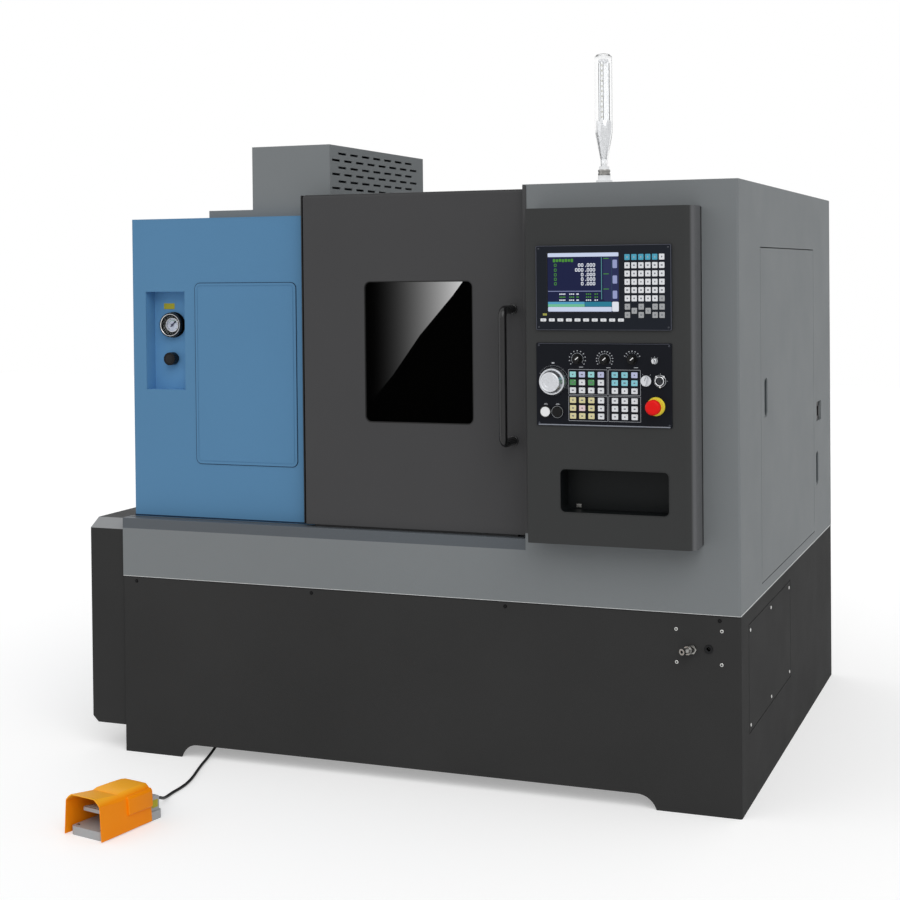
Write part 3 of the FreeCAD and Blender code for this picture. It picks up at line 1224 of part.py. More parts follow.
def make_handwheel():
    """Stepped handwheel with a finger dimple in its face."""
    x, z = panel_point(WHEEL_AT)
    y = PANEL_Y - GAP
    skirt = cone((x, y, z), (0, -1, 0), WHEEL_R, WHEEL_R - 4, WHEEL_H * 0.45)
    hub = cone((x, y - WHEEL_H * 0.45, z), (0, -1, 0), WHEEL_R - 7, WHEEL_FACE_R, WHEEL_H * 0.55)
    wheel = skirt.fuse(hub)
    dimple = Part.makeSphere(9.0, Vec(x + 15, y - WHEEL_H - 3.5, z - 11))
    wheel = wheel.cut(dimple)
    notches = []
    for k in range(24):
        a = 2 * math.pi * k / 24
        notches.append(rod((x + (WHEEL_R + 1) * math.cos(a), y + 1, z + (WHEEL_R + 1) * math.sin(a)),
                           (0, -1, 0), 2.6, WHEEL_H * 0.45 + 2))
    wheel = wheel.cut(Part.makeCompound(notches))
    keep("handwheel", with_shaft(wheel, WHEEL_AT, y))


def make_rotary_knobs():
    """Three override and mode knobs with a raised pointer bar."""
    for k, place in enumerate(KNOB_AT):
        x, z = panel_point(place)
        y = PANEL_Y - GAP
        skirt = rod((x, y, z), (0, -1, 0), KNOB_R, 4.0)
        grip = grip_knob(x, y - 4, z, KNOB_R - 3, KNOB_H - 4, 9, 0.9)
        bar = box(x - 1.6, x + 1.6, y - KNOB_H - 1.2, y - KNOB_H + 2, z - 2, z + KNOB_R - 3.5)
        knob = fuse([skirt, grip, bar])
        knob.rotate(Vec(x, y, z), Vec(0, 1, 0), 50)
        keep("override_knob_%d" % (k + 1), with_shaft(knob, place, y))


def make_selector():
    """Silver selector: a round boss with a raised lever across it."""
    x, z = panel_point(SELECTOR_AT)
    y = PANEL_Y - GAP
    boss = rod((x, y, z), (0, -1, 0), SELECTOR_R, 8.0)
    lever = box(x - 4.5, x + 4.5, y - SELECTOR_H, y - 8, z - SELECTOR_R + 2, z + SELECTOR_R - 2)
    lever = rounded(lever, 3.0, (0, 1, 0))
    body = boss.fuse(lever)
    body.rotate(Vec(x, y, z), Vec(0, 1, 0), 12)
    keep("selector_switch", with_shaft(body, SELECTOR_AT, y))


def make_locks():
    """Ring-shaped lock barrel and the small key switch above it."""
    x, z = panel_point(LOCK_AT)
    y = PANEL_Y - 5 - GAP
    barrel = rod((x, y, z), (0, -1, 0), LOCK_R - 3, LOCK_H - 5)
    barrel = barrel.cut(rod((x, y - 3, z), (0, -1, 0), LOCK_R - 6.5, LOCK_H))
    core = rod((x, y - 2, z), (0, -1, 0), 5.0, LOCK_H - 6)
    core = core.cut(box(x - 0.8, x + 0.8, y - LOCK_H, y - 4, z - 3.5, z + 3.5))
    keep("ring_lock", with_shaft(barrel.fuse(core), LOCK_AT, y))
    x, z = panel_point(KEY_SWITCH_AT)
    y = PANEL_Y - GAP
    body = rod((x, y, z), (0, -1, 0), KEY_SWITCH_R, KEY_SWITCH_H)
    bow = box(x - 1.2, x + 1.2, y - KEY_SWITCH_H - 12, y - KEY_SWITCH_H + 4, z - 8, z + 8)
    bow = rounded(bow, 5.0, (1, 0, 0), lambda c: c.y < y - KEY_SWITCH_H - 5)
    keep("key_switch", with_shaft(body.fuse(bow), KEY_SWITCH_AT, y))


def push_button(place):
    """Button cap whose stem runs in its collar."""
    x, z = panel_point(place)
    y = PANEL_Y - 4
    cap = rod((x, y + 18, z), (0, -1, 0), BUTTON_R, BUTTON_H + 10)
    rim = [e for e in cap.Edges if e.Curve.TypeId == "Part::GeomCircle" and e.Curve.Center.y < y]
    return cap.makeFillet(1.5, rim)


def make_buttons():
    keep("start_button", push_button(START_AT))
    keep("hold_button", push_button(HOLD_AT))
    x, z = panel_point(ESTOP_AT)
    crown = CONSOLE_Y - ESTOP_REACH
    stem_y = PANEL_Y + 18
    stem = rod((x, stem_y, z), (0, -1, 0), 9.0, stem_y - crown - 10)
    head = rod((x, crown + 20, z), (0, -1, 0), ESTOP_HEAD_R, 20)
    top = [e for e in head.Edges if e.Curve.TypeId == "Part::GeomCircle"
           and e.Curve.Center.y < crown + 1]
    low = [e for e in head.Edges if e.Curve.TypeId == "Part::GeomCircle"
           and e.Curve.Center.y > crown + 19]
    head = head.makeFillet(8.0, top).makeChamfer(3.0, [e for e in low])
    keep("estop_head", stem.fuse(head).removeSplitter())


# ---------------------------------------------------------------- spindle line
def make_headstock():
    """Cast headstock with a round crown, two bearing lands and cooling ribs."""
    x0, x1 = HEADSTOCK_X0, HEADSTOCK_X1
    half = HEADSTOCK_HALF_W
    block = box(x0, x1, SPIN_Y - half, SPIN_Y + half, HEADSTOCK_SEAT_Z, SPINDLE_Z)
    crown = rod((x0, SPIN_Y, SPINDLE_Z), (1, 0, 0), half, x1 - x0)
    flange = box(x0, x1, SPIN_Y - half, SPIN_Y + half + HEADSTOCK_FLANGE, HEADSTOCK_SEAT_Z,
                 HEADSTOCK_SEAT_Z + 45)
    parts = [block, crown, flange]
    ribs = 5
    for k in range(ribs):
        x = x0 + 90 + k * (HEADSTOCK_L - 200) / (ribs - 1)
        parts.append(rod((x, SPIN_Y, SPINDLE_Z), (1, 0, 0), half + 8, 8.0))
    body = fuse(parts)
    body = body.cut(rod((x0 - 1, SPIN_Y, SPINDLE_Z), (1, 0, 0), SPINDLE_R + RUN_FIT, x1 - x0 + 2))
    relief = rod((x0 + BEARING_LAND, SPIN_Y, SPINDLE_Z), (1, 0, 0), SPINDLE_R + 15,
                 x1 - x0 - 2 * BEARING_LAND)
    keep("headstock", body.cut(relief))


def make_spindle():
    """Hollow spindle with its nose flange and grooved pulley."""
    shaft = rod((TAIL_X, SPIN_Y, SPINDLE_Z), (1, 0, 0), SPINDLE_R, NOSE_FACE_X - TAIL_X)
    nose = rod((NOSE_FACE_X - NOSE_T, SPIN_Y, SPINDLE_Z), (1, 0, 0), NOSE_R, NOSE_T)
    pulley = rod((PULLEY_X0, SPIN_Y, SPINDLE_Z), (1, 0, 0), PULLEY_R, PULLEY_W)
    pulley = pulley.cut(belt_grooves(PULLEY_R, SPINDLE_Z))
    body = fuse([shaft, nose, pulley])
    body = body.cut(rod((TAIL_X - 1, SPIN_Y, SPINDLE_Z), (1, 0, 0), SPINDLE_BORE_R,
                        NOSE_FACE_X - TAIL_X + 2))
    keep("spindle", body)


def belt_grooves(radius, z):
    """Rings cut from a pulley's rim."""
    cuts = []
    ribs = range(5)
    pitch = BELT_W / len(ribs)
    for k in ribs:
        x = PULLEY_X0 + (PULLEY_W - BELT_W) / 2 + (k + 0.5) * pitch
        ring = rod((x - 1.5, SPIN_Y, z), (1, 0, 0), radius + 1, 3.0)
        cuts.append(ring.cut(rod((x - 2, SPIN_Y, z), (1, 0, 0), radius - 3, 4.0)))
    return Part.makeCompound(cuts)


def make_chuck():
    """Three-jaw power chuck: body with guide slots, and its three stepped jaws."""
    x0 = NOSE_FACE_X
    x1 = x0 + CHUCK_L
    body = rod((x0, SPIN_Y, SPINDLE_Z), (1, 0, 0), CHUCK_R, CHUCK_L)
    rim = [e for e in body.Edges if e.Curve.TypeId == "Part::GeomCircle"]
    body = body.makeChamfer(3.0, rim)
    body = body.cut(rod((x0 - 1, SPIN_Y, SPINDLE_Z), (1, 0, 0), SPINDLE_BORE_R, CHUCK_L + 2))
    slot = box(x1 - JAW_FOOT_H, x1 + 1, -JAW_W / 2, JAW_W / 2, 20.0, CHUCK_R + 5)
    tee = box(x1 - JAW_FOOT_H, x1 - JAW_FOOT_H + 10, -JAW_W / 2 - 5, JAW_W / 2 + 5, 20.0, CHUCK_R + 5)
    for k in range(3):
        for tool in (slot, tee):
            cut = tool.copy()
            cut.rotate(Vec(0, 0, 0), Vec(1, 0, 0), 120 * k)
            cut.translate(Vec(0, SPIN_Y, SPINDLE_Z))
            body = body.cut(cut)
    holes = []
    for k in range(3):
        a = math.radians(30 + 120 * k)
        holes.append(rod((x1 - 30, SPIN_Y + 60 * math.cos(a), SPINDLE_Z + 60 * math.sin(a)),
                         (1, 0, 0), 7.0, 31))
    keep("chuck_body", body.cut(Part.makeCompound(holes)))
    for k in range(3):
        jaw = jaw_shape(x1)
        jaw.rotate(Vec(0, 0, 0), Vec(1, 0, 0), 120 * k)
        jaw.translate(Vec(0, SPIN_Y, SPINDLE_Z))
        keep("chuck_jaw_%d" % (k + 1), jaw)


def jaw_shape(face_x):
    """One jaw pointing up from the centre: T-foot, master jaw and stepped top jaw."""
    g = GAP
    r0 = JAW_INNER_R
    r1 = r0 + JAW_L
    foot = box(face_x - JAW_FOOT_H + g, face_x + g, -JAW_W / 2 + g, JAW_W / 2 - g, r0, r1)
    tee = box(face_x - JAW_FOOT_H + g, face_x - JAW_FOOT_H + 10 - g, -JAW_W / 2 - 5 + g,
              JAW_W / 2 + 5 - g, r0, r1)
    top = box(face_x + g, face_x + JAW_STAND * 0.55, -JAW_W / 2 - 3, JAW_W / 2 + 3, r0, r1)
    step = box(face_x + JAW_STAND * 0.55, face_x + JAW_STAND, -JAW_W / 2 - 3, JAW_W / 2 + 3,
               r0 + JAW_L * 0.4, r1)
    jaw = fuse([foot, tee, top, step])
    for z in (r0 + JAW_L * 0.62, r0 + JAW_L * 0.85):
        jaw = jaw.cut(rod((face_x + JAW_STAND + 1, 0, z), (-1, 0, 0), 4.5, 10))
    return jaw


def make_hydraulic_cylinder():
    """Rotating cylinder on the spindle's tail that works the jaws."""
    x1 = TAIL_X
    x0 = x1 - CYLINDER_L
    body = rod((x0 + 60, SPIN_Y, SPINDLE_Z), (1, 0, 0), CYLINDER_R, CYLINDER_L - 75)
    flange = rod((x1 - 15, SPIN_Y, SPINDLE_Z), (1, 0, 0), CYLINDER_R - 12, 15)
    union = rod((x0, SPIN_Y, SPINDLE_Z), (1, 0, 0), CYLINDER_R - 24, 60)
    cylinder = fuse([body, flange, union])
    cylinder = cylinder.cut(rod((x0 - 1, SPIN_Y, SPINDLE_Z), (1, 0, 0), SPINDLE_BORE_R,
                                CYLINDER_L + 2))
    keep("hydraulic_cylinder", cylinder)


def make_spindle_motor():
    """Square motor behind the motor plate, with fins, fan cowl and shaft."""
    x1 = PULLEY_X0 - 15 - MOTOR_PLATE_T
    x0 = x1 - MOTOR_L
    h = MOTOR_HALF
    body = box(x0 + 70, x1, SPIN_Y - h + 8, SPIN_Y + h - 8, MOTOR_Z - h + 8, MOTOR_Z + h - 8)
    body = rounded(body, 20.0, (1, 0, 0))
    cowl = rounded(box(x0, x0 + 70, SPIN_Y - h, SPIN_Y + h, MOTOR_Z - h, MOTOR_Z + h), 26.0, (1, 0, 0))
    flange = box(x1 - 16, x1, SPIN_Y - h, SPIN_Y + h, MOTOR_Z - h, MOTOR_Z + h)
    pilot = rod((x1, SPIN_Y, MOTOR_Z), (1, 0, 0), 55.0 - RUN_FIT, MOTOR_PLATE_T - 2)
    parts = [body, cowl, flange, pilot]
    motor = fuse(parts)
    fins = []
    for k in range(7):
        y = SPIN_Y - 66 + 22 * k
        fins.append(box(x0 + 80, x1 - 26, y - 3, y + 3, MOTOR_Z + h - 16, MOTOR_Z + h + 1))
    motor = motor.cut(Part.makeCompound(fins))
    slots = []
    for k in range(5):
        z = MOTOR_Z - 44 + 22 * k
        slots.append(box(x0 - 1, x0 + 8, SPIN_Y - 60, SPIN_Y + 60, z - 4, z + 4))
    motor = motor.cut(Part.makeCompound(slots))
    motor = motor.cut(rod((x1 - 40, SPIN_Y, MOTOR_Z), (1, 0, 0), MOTOR_SHAFT_R + RUN_FIT, 60))
    keep("spindle_motor", motor)
    pulley = rod((PULLEY_X0, SPIN_Y, MOTOR_Z), (1, 0, 0), MOTOR_PULLEY_R, PULLEY_W)
    pulley = pulley.cut(belt_grooves(MOTOR_PULLEY_R, MOTOR_Z))
    rotor = rod((x1 - 38, SPIN_Y, MOTOR_Z), (1, 0, 0), MOTOR_SHAFT_R,
                MOTOR_PLATE_T + 15 + PULLEY_W + 38)
    keep("motor_pulley", fuse([pulley, rotor]))


def belt_face(x, top_r, low_r):
    """Outline round both pulleys: two arcs and their outer tangents."""
    a = math.asin((top_r - low_r) / (SPINDLE_Z - MOTOR_Z))
    c, s = math.cos(a), math.sin(a)

    def on(z, r, side):
        return Vec(x, SPIN_Y + side * r * c, z + -r * s)

    top = Vec(x, SPIN_Y, SPINDLE_Z + top_r)
    low = Vec(x, SPIN_Y, MOTOR_Z - low_r)
    tr, tl = on(SPINDLE_Z, top_r, 1), on(SPINDLE_Z, top_r, -1)
    lr, ll = on(MOTOR_Z, low_r, 1), on(MOTOR_Z, low_r, -1)
    wire = Part.Wire([Part.Arc(tl, top, tr).toShape(), Part.LineSegment(tr, lr).toShape(),
                      Part.Arc(lr, low, ll).toShape(), Part.LineSegment(ll, tl).toShape()])
    return Part.Face(wire)


def make_drive_belt():
    x = PULLEY_X0 + (PULLEY_W - BELT_W) / 2
    outer = belt_face(x, PULLEY_R + GAP + BELT_T, MOTOR_PULLEY_R + GAP + BELT_T)
    inner = belt_face(x, PULLEY_R + GAP, MOTOR_PULLEY_R + GAP)
    keep("drive_belt", outer.extrude(Vec(BELT_W, 0, 0)).cut(inner.extrude(Vec(BELT_W, 0, 0))))


# ---------------------------------------------------------------- bed, saddle, turret
def bed_outline(grow=0.0):
    """Side view of the slanted part of the bed."""
    y0, z0 = slant_point(BED_T0 - grow, WAY_N + grow)
    y1, z1 = slant_point(BED_T1 + grow, WAY_N + grow)
    return [(y0, z0), (y1, z1), (y1, BED_FOOT_H), (y0, BED_FOOT_H)]


def way_places():
    """Start and end of both lengthwise ways, up the slope."""
    low = (BED_T0 + WAY_EDGE, BED_T0 + WAY_EDGE + WAY_W)
    high = (BED_T1 - WAY_EDGE - WAY_W, BED_T1 - WAY_EDGE)
    return low, high


def cross_way_places():
    """Start and end along X of both cross ways on the saddle."""
    first = (SLIDE_X0 + 12, SLIDE_X0 + 12 + CROSS_WAY_W)
    last = (SLIDE_X1 - 12 - CROSS_WAY_W, SLIDE_X1 - 12)
    return first, last


def make_bed():
    """Slant-bed casting with box ways, cored inside, on six pads, with the motor bracket."""
    x0, x1 = BED_X0, BED_X1
    outline = bed_outline()
    body = prism([(x0, y, z) for y, z in outline], (x1 - x0, 0, 0))
    table = box(x0, HEADSTOCK_X1, FRONT_Y + BED_FRONT_Y, outline[1][0], BED_FOOT_H, HEADSTOCK_SEAT_Z)
    body = body.fuse(table)
    seat_y1 = SPIN_Y + HEADSTOCK_HALF_W + HEADSTOCK_FLANGE + 4
    body = body.cut(box(x0 - 1, HEADSTOCK_X1 + 1, FRONT_Y, seat_y1, HEADSTOCK_SEAT_Z, HIGH_ROOF_H))
    ways = []
    for t0, t1 in way_places():
        ways.append(slanted(box(HEADSTOCK_X1 + 60, x1, t0, t1, WAY_N - 5, WAY_N + WAY_H)))
    body = body.multiFuse(ways)
    # trough for the ball screw and its nut, and lightening cores with ribs between them
    trough = slanted(box(HEADSTOCK_X1 + 60, x1 + 1, SCREW_Z_T - NUT_R - 8, SCREW_Z_T + NUT_R + 8,
                         SCREW_Z_N - NUT_R - 8, WAY_N + 1))
    body = body.cut(trough)
    w = BED_WALL
    front, back = outline[0][0] + w, outline[1][0] - w
    deep = SCREW_Z_N - NUT_R - 8 - w
    span = (x1 - HEADSTOCK_X1 - (BED_BAYS + 1) * w) / BED_BAYS
    for k in range(BED_BAYS):
        bx = HEADSTOCK_X1 + w + k * (span + w)
        profile = [(bx, front, BED_FOOT_H - 1), (bx, front, slope_height(front, deep)),
                   (bx, back, slope_height(back, deep)), (bx, back, BED_FOOT_H - 1)]
        body = body.cut(rounded(prism(profile, (span, 0, 0)), 25.0, (1, 0, 0), lambda c: c.z > 100))
    half = (HEADSTOCK_X1 - x0 - 3 * w) / 2
    for k in range(2):
        bx = x0 + w + k * (half + w)
        core = box(bx, bx + half, FRONT_Y + BED_FRONT_Y + w, back, BED_FOOT_H - 1,
                   HEADSTOCK_SEAT_Z - 1.5 * w)
        body = body.cut(rounded(core, 25.0, (1, 0, 0), lambda c: c.z > 100))
    pads = [(x0 + 50, FRONT_Y + BED_FRONT_Y + 50)]
    for px in (x0 + 50, HEADSTOCK_X1, x1 - 50):
        pads += [(px, outline[0][0] + 50), (px, outline[1][0] - 50)]
    for px, py in pads:
        body = body.fuse(rod((px, py, 0), (0, 0, 1), BED_PAD_R, BED_FOOT_H + 30))
    # bracket that carries the spindle motor's plate
    plate_x1 = PULLEY_X0 - 15
    plate_x0 = plate_x1 - MOTOR_PLATE_T
    h = MOTOR_PLATE_HALF
    plate = box(plate_x0, plate_x1, SPIN_Y - h, SPIN_Y + h, MOTOR_Z - h, MOTOR_Z + h)
    plate = plate.cut(rod((plate_x0 - 1, SPIN_Y, MOTOR_Z), (1, 0, 0), 55.0, MOTOR_PLATE_T + 2))
    arms = [plate]
    for side in (-1, 1):
        y = SPIN_Y + side * (h - ARM_T / 2)
        arms.append(box(plate_x1 - 1, x0 + 1, y - ARM_T / 2, y + ARM_T / 2, MOTOR_Z - h, MOTOR_Z + h))
    body = body.multiFuse(arms)
    bearing = slanted(box(x1 - 46, x1 - 10, SCREW_Z_T - 45, SCREW_Z_T + 45, SCREW_Z_N - 45, WAY_N))
    bearing = bearing.cut(slanted(rod((x1 - 60, SCREW_Z_T, SCREW_Z_N), (1, 0, 0),
                                      SCREW_R + RUN_FIT, 70)))
    body = body.fuse(bearing)
    keep("bed_casting", body.removeSplitter())


def make_z_servo():
    """Lengthwise servo motor on its bearing block at the bed's right end."""
    x0 = BED_X1
    mount = slanted(box(x0, x0 + 22, SCREW_Z_T - 62, SCREW_Z_T + 62, SCREW_Z_N - 62, SCREW_Z_N + 60))
    body = slanted(box(x0 + 22, x0 + 22 + SERVO_L, SCREW_Z_T - SERVO_HALF, SCREW_Z_T + SERVO_HALF,
                       SCREW_Z_N - SERVO_HALF, SCREW_Z_N + SERVO_HALF))
    body = body.fuse(mount).removeSplitter()
    body = body.cut(slanted(rod((x0 - 1, SCREW_Z_T, SCREW_Z_N), (1, 0, 0), SCREW_R + RUN_FIT, 31)))
    keep("z_servo", body)


def make_ball_screws():
    z0 = HEADSTOCK_X1 + 75
    screw = rod((z0, SCREW_Z_T, SCREW_Z_N), (1, 0, 0), SCREW_R, BED_X1 + 28 - z0)
    keep("z_ball_screw", slanted(screw))
    t0 = SLIDE_HOME_T - SLIDE_TRAVEL - 20
    t1 = BED_T1 + 40 + 28
    screw = rod((CROSS_SCREW_AT, t0, SCREW_X_N), (0, 1, 0), SCREW_R, t1 - t0)
    keep("x_ball_screw", slanted(screw))


def make_saddle():
    """Saddle on the bed's ways, with its nut below and the cross ways on top."""
    g = GAP
    t0, t1 = BED_T0, BED_T1 + 40
    body = box(SADDLE_X0, SADDLE_X1, t0, t1, WAY_N + g, SADDLE_TOP_N)
    for w0, w1 in way_places():
        body = body.cut(box(SADDLE_X0 - 1, SADDLE_X1 + 1, w0 - g, w1 + g, WAY_N, WAY_N + WAY_H + g))
    nut = rod((SADDLE_X0 + 90, SCREW_Z_T, SCREW_Z_N), (1, 0, 0), NUT_R, 120)
    bridge = box(SADDLE_X0 + 90, SADDLE_X0 + 210, SCREW_Z_T - 20, SCREW_Z_T + 20,
                 SCREW_Z_N, WAY_N + g + 1)
    body = body.fuse(nut).fuse(bridge)
    body = body.cut(rod((SADDLE_X0 + 80, SCREW_Z_T, SCREW_Z_N), (1, 0, 0), SCREW_R + RUN_FIT, 140))
    ways = []
    for x0, x1 in cross_way_places():
        ways.append(box(x0, x1, t0 + 20, t1, SADDLE_TOP_N - 2, SADDLE_TOP_N + CROSS_WAY_H))
    body = body.multiFuse(ways)
    groove = box(CROSS_SCREW_AT - NUT_R - 6, CROSS_SCREW_AT + NUT_R + 6, t0 + 50, t1 - 40,
                 SCREW_X_N - NUT_R - 6, SADDLE_TOP_N + 1)
    body = body.cut(groove)
    block = box(CROSS_SCREW_AT - NUT_R - 6, CROSS_SCREW_AT + NUT_R + 6, t1 - 40, t1,
                SADDLE_TOP_N - 1, SADDLE_TOP_N + SCREW_R + 8)
    body = body.fuse(block)
    body = body.cut(rod((CROSS_SCREW_AT, t0 + 45, SCREW_X_N), (0, 1, 0), SCREW_R + RUN_FIT,
                        t1 - t0))
    keep("saddle", slanted(body.removeSplitter()))


def make_x_servo():
    """Cross servo motor on the saddle's upper end."""
    t1 = BED_T1 + 40
    h = SERVO_HALF
    body = box(CROSS_SCREW_AT - h, CROSS_SCREW_AT + h, t1, t1 + SERVO_L, SCREW_X_N - h, SCREW_X_N + h)
    body = body.cut(rod((CROSS_SCREW_AT, t1 - 1, SCREW_X_N), (0, 1, 0), SCREW_R + RUN_FIT, 31))
    keep("x_servo", slanted(body))


def make_cross_slide():
    """Cross slide with its nut, carrying the turret's housing."""
    g = GAP
    t0 = SLIDE_HOME_T
    t1 = t0 + SLIDE_T_LEN
    body = box(SLIDE_X0, SLIDE_X1, t0, t1, SADDLE_TOP_N + g, SLIDE_TOP_N)
    for x0, x1 in cross_way_places():
        body = body.cut(box(x0 - g, x1 + g, t0 - 1, t1 + 1, SADDLE_TOP_N, SADDLE_TOP_N + CROSS_WAY_H + g))
    tunnel = box(CROSS_SCREW_AT - NUT_R - 6, CROSS_SCREW_AT + NUT_R + 6, t0 - 1, t1 + 1,
                 SADDLE_TOP_N, SADDLE_TOP_N + SCREW_R + 8 + g)
    body = body.cut(tunnel)
    nut = rod((CROSS_SCREW_AT, t0 + 30, SCREW_X_N), (0, 1, 0), NUT_R, 100)
    web = box(CROSS_SCREW_AT - 18, CROSS_SCREW_AT + 18, t0 + 30, t0 + 130, SCREW_X_N,
              SADDLE_TOP_N + SCREW_R + 12)
    body = body.fuse(nut).fuse(web)
    body = body.cut(rod((CROSS_SCREW_AT, t0 - 1, SCREW_X_N), (0, 1, 0), SCREW_R + RUN_FIT,
                        SLIDE_T_LEN + 2))
    hx0 = SLIDE_X0 + 10
    hx1 = hx0 + TURRET_HOUSING_L
    housing = box(hx0, hx1, TURRET_T - TURRET_HALF, TURRET_T + TURRET_HALF, SLIDE_TOP_N - 1,
                  TURRET_HALF)
    housing = rounded(housing, 30.0, (1, 0, 0), lambda c: c.z > 0)
    neck = rod((hx0 - 12, TURRET_T, 0), (1, 0, 0), 60.0, 13)
    body = body.fuse(housing).fuse(neck)
    body = body.cut(rod((hx0 - 13, TURRET_T, 0), (1, 0, 0), 30.0 + RUN_FIT, 80))
    keep("cross_slide", slanted(body.removeSplitter()))


def make_turret():
    """Eight-station tool disc with its tool blocks and shank tools."""
    x1 = SLIDE_X0 + 10 - 12 - GAP
    x0 = x1 - TURRET_DISC_T
    n = TURRET_STATIONS
    flat = TURRET_DISC_R * math.cos(math.pi / n)
    corners = []
    for k in range(n):
        a = 2 * math.pi * (k + 0.5) / n
        corners.append((x0, TURRET_T + TURRET_DISC_R * math.cos(a), TURRET_DISC_R * math.sin(a)))
    disc = prism(corners, (TURRET_DISC_T, 0, 0))
    parts = [disc, rod((x0 - 8, TURRET_T, 0), (1, 0, 0), 70.0, 8.0),
             rod((x1, TURRET_T, 0), (1, 0, 0), 30.0, 60)]
    for k in range(n):
        block = box(x0 + 4, x1 - 4, flat - 1, flat + BLOCK_H, -BLOCK_W / 2, BLOCK_W / 2)
        block = rounded(block, 5.0, (1, 0, 0), lambda c: c.y > flat + 1)
        tool = box(x0 - 22, x0 + 40, flat + BLOCK_H - 24, flat + BLOCK_H, -TOOL_W / 2, TOOL_W / 2)
        tip = prism([(x0 - 22, flat + BLOCK_H - 1, -TOOL_W / 2), (x0 - 4, flat + BLOCK_H - 1, -TOOL_W / 2),
                     (x0 - 16, TOOL_REACH, -TOOL_W / 2)], (0, 0, TOOL_W * 0.5))
        station = fuse([block, tool, tip])
        station.translate(Vec(0, TURRET_T, 0))
        station.rotate(Vec(0, TURRET_T, 0), Vec(1, 0, 0), 360.0 * k / n)
        parts.append(station)
    turret = fuse(parts)
    keep("turret_disc", slanted(turret))


def make_chamber_liner():
    """Three sheets of the working space: end walls round the bed, and the chip chute."""
    s = SHEET
    y0 = COVER_Y + s + GAP
    y1 = CABINET_Y - GAP
    z1 = LOW_ROOF_H - s - GAP
    left = box(HEADSTOCK_X1, HEADSTOCK_X1 + s, y0, y1, BASE_H + 60, z1)
    right_x = RIGHT_X - BED_RIGHT - 60
    right = box(right_x, right_x + s, y0, y1, BASE_H + 60, z1)
    outline = bed_outline(1.0)
    clear = prism([(HEADSTOCK_X0, y, z) for y, z in outline], (BODY_W, 0, 0))
    for w0, w1 in way_places():
        clear = clear.fuse(slanted(box(HEADSTOCK_X0, RIGHT_X, w0 - 1, w1 + 1, WAY_N - 1,
                                       WAY_N + WAY_H + 1)))
    nose_hole = rod((HEADSTOCK_X1 - 1, SPIN_Y, SPINDLE_Z), (1, 0, 0), NOSE_R + 10, s + 2)
    left = left.cut(clear).cut(nose_hole)
    right = right.cut(clear)
    chute_y1 = outline[0][0] - 1
    sill_z = DOORWAY_Z0 - 6
    low_z = BASE_H + 60
    x0 = HEADSTOCK_X1 + s + GAP
    fold = y0 + CHUTE_FOLD
    chute = prism([(x0, y0, sill_z), (x0, y0 + s, sill_z), (x0, fold + s, low_z + s),
                   (x0, chute_y1, low_z + s), (x0, chute_y1, low_z), (x0, fold, low_z)],
                  (right_x - GAP - x0, 0, 0))
    keep("chamber_liner", Part.makeCompound([left, right, chute]))


# ---------------------------------------------------------------- foot switch and cable
def switch_frame(shape):
    """Place a shape drawn from the foot switch's front right corner."""
    placed = shape.copy()
    placed.rotate(Vec(0, 0, 0), Vec(0, 0, 1), -SWITCH_TURN)
    placed.translate(Vec(RIGHT_X + SWITCH_CORNER[0], FRONT_Y + SWITCH_CORNER[1], 0))
    return placed


def switch_point(x, y, z):
    a = math.radians(-SWITCH_TURN)
    return Vec(RIGHT_X + SWITCH_CORNER[0] + x * math.cos(a) - y * math.sin(a),
               FRONT_Y + SWITCH_CORNER[1] + x * math.sin(a) + y * math.cos(a), z)


def switch_exit_on_member():
    """Where the cable enters the gland on the base's cross member."""
    return RIGHT_X - CABLE_GLAND_X, FRONT_Y + CROSS_MEMBER_Y - GLAND_L


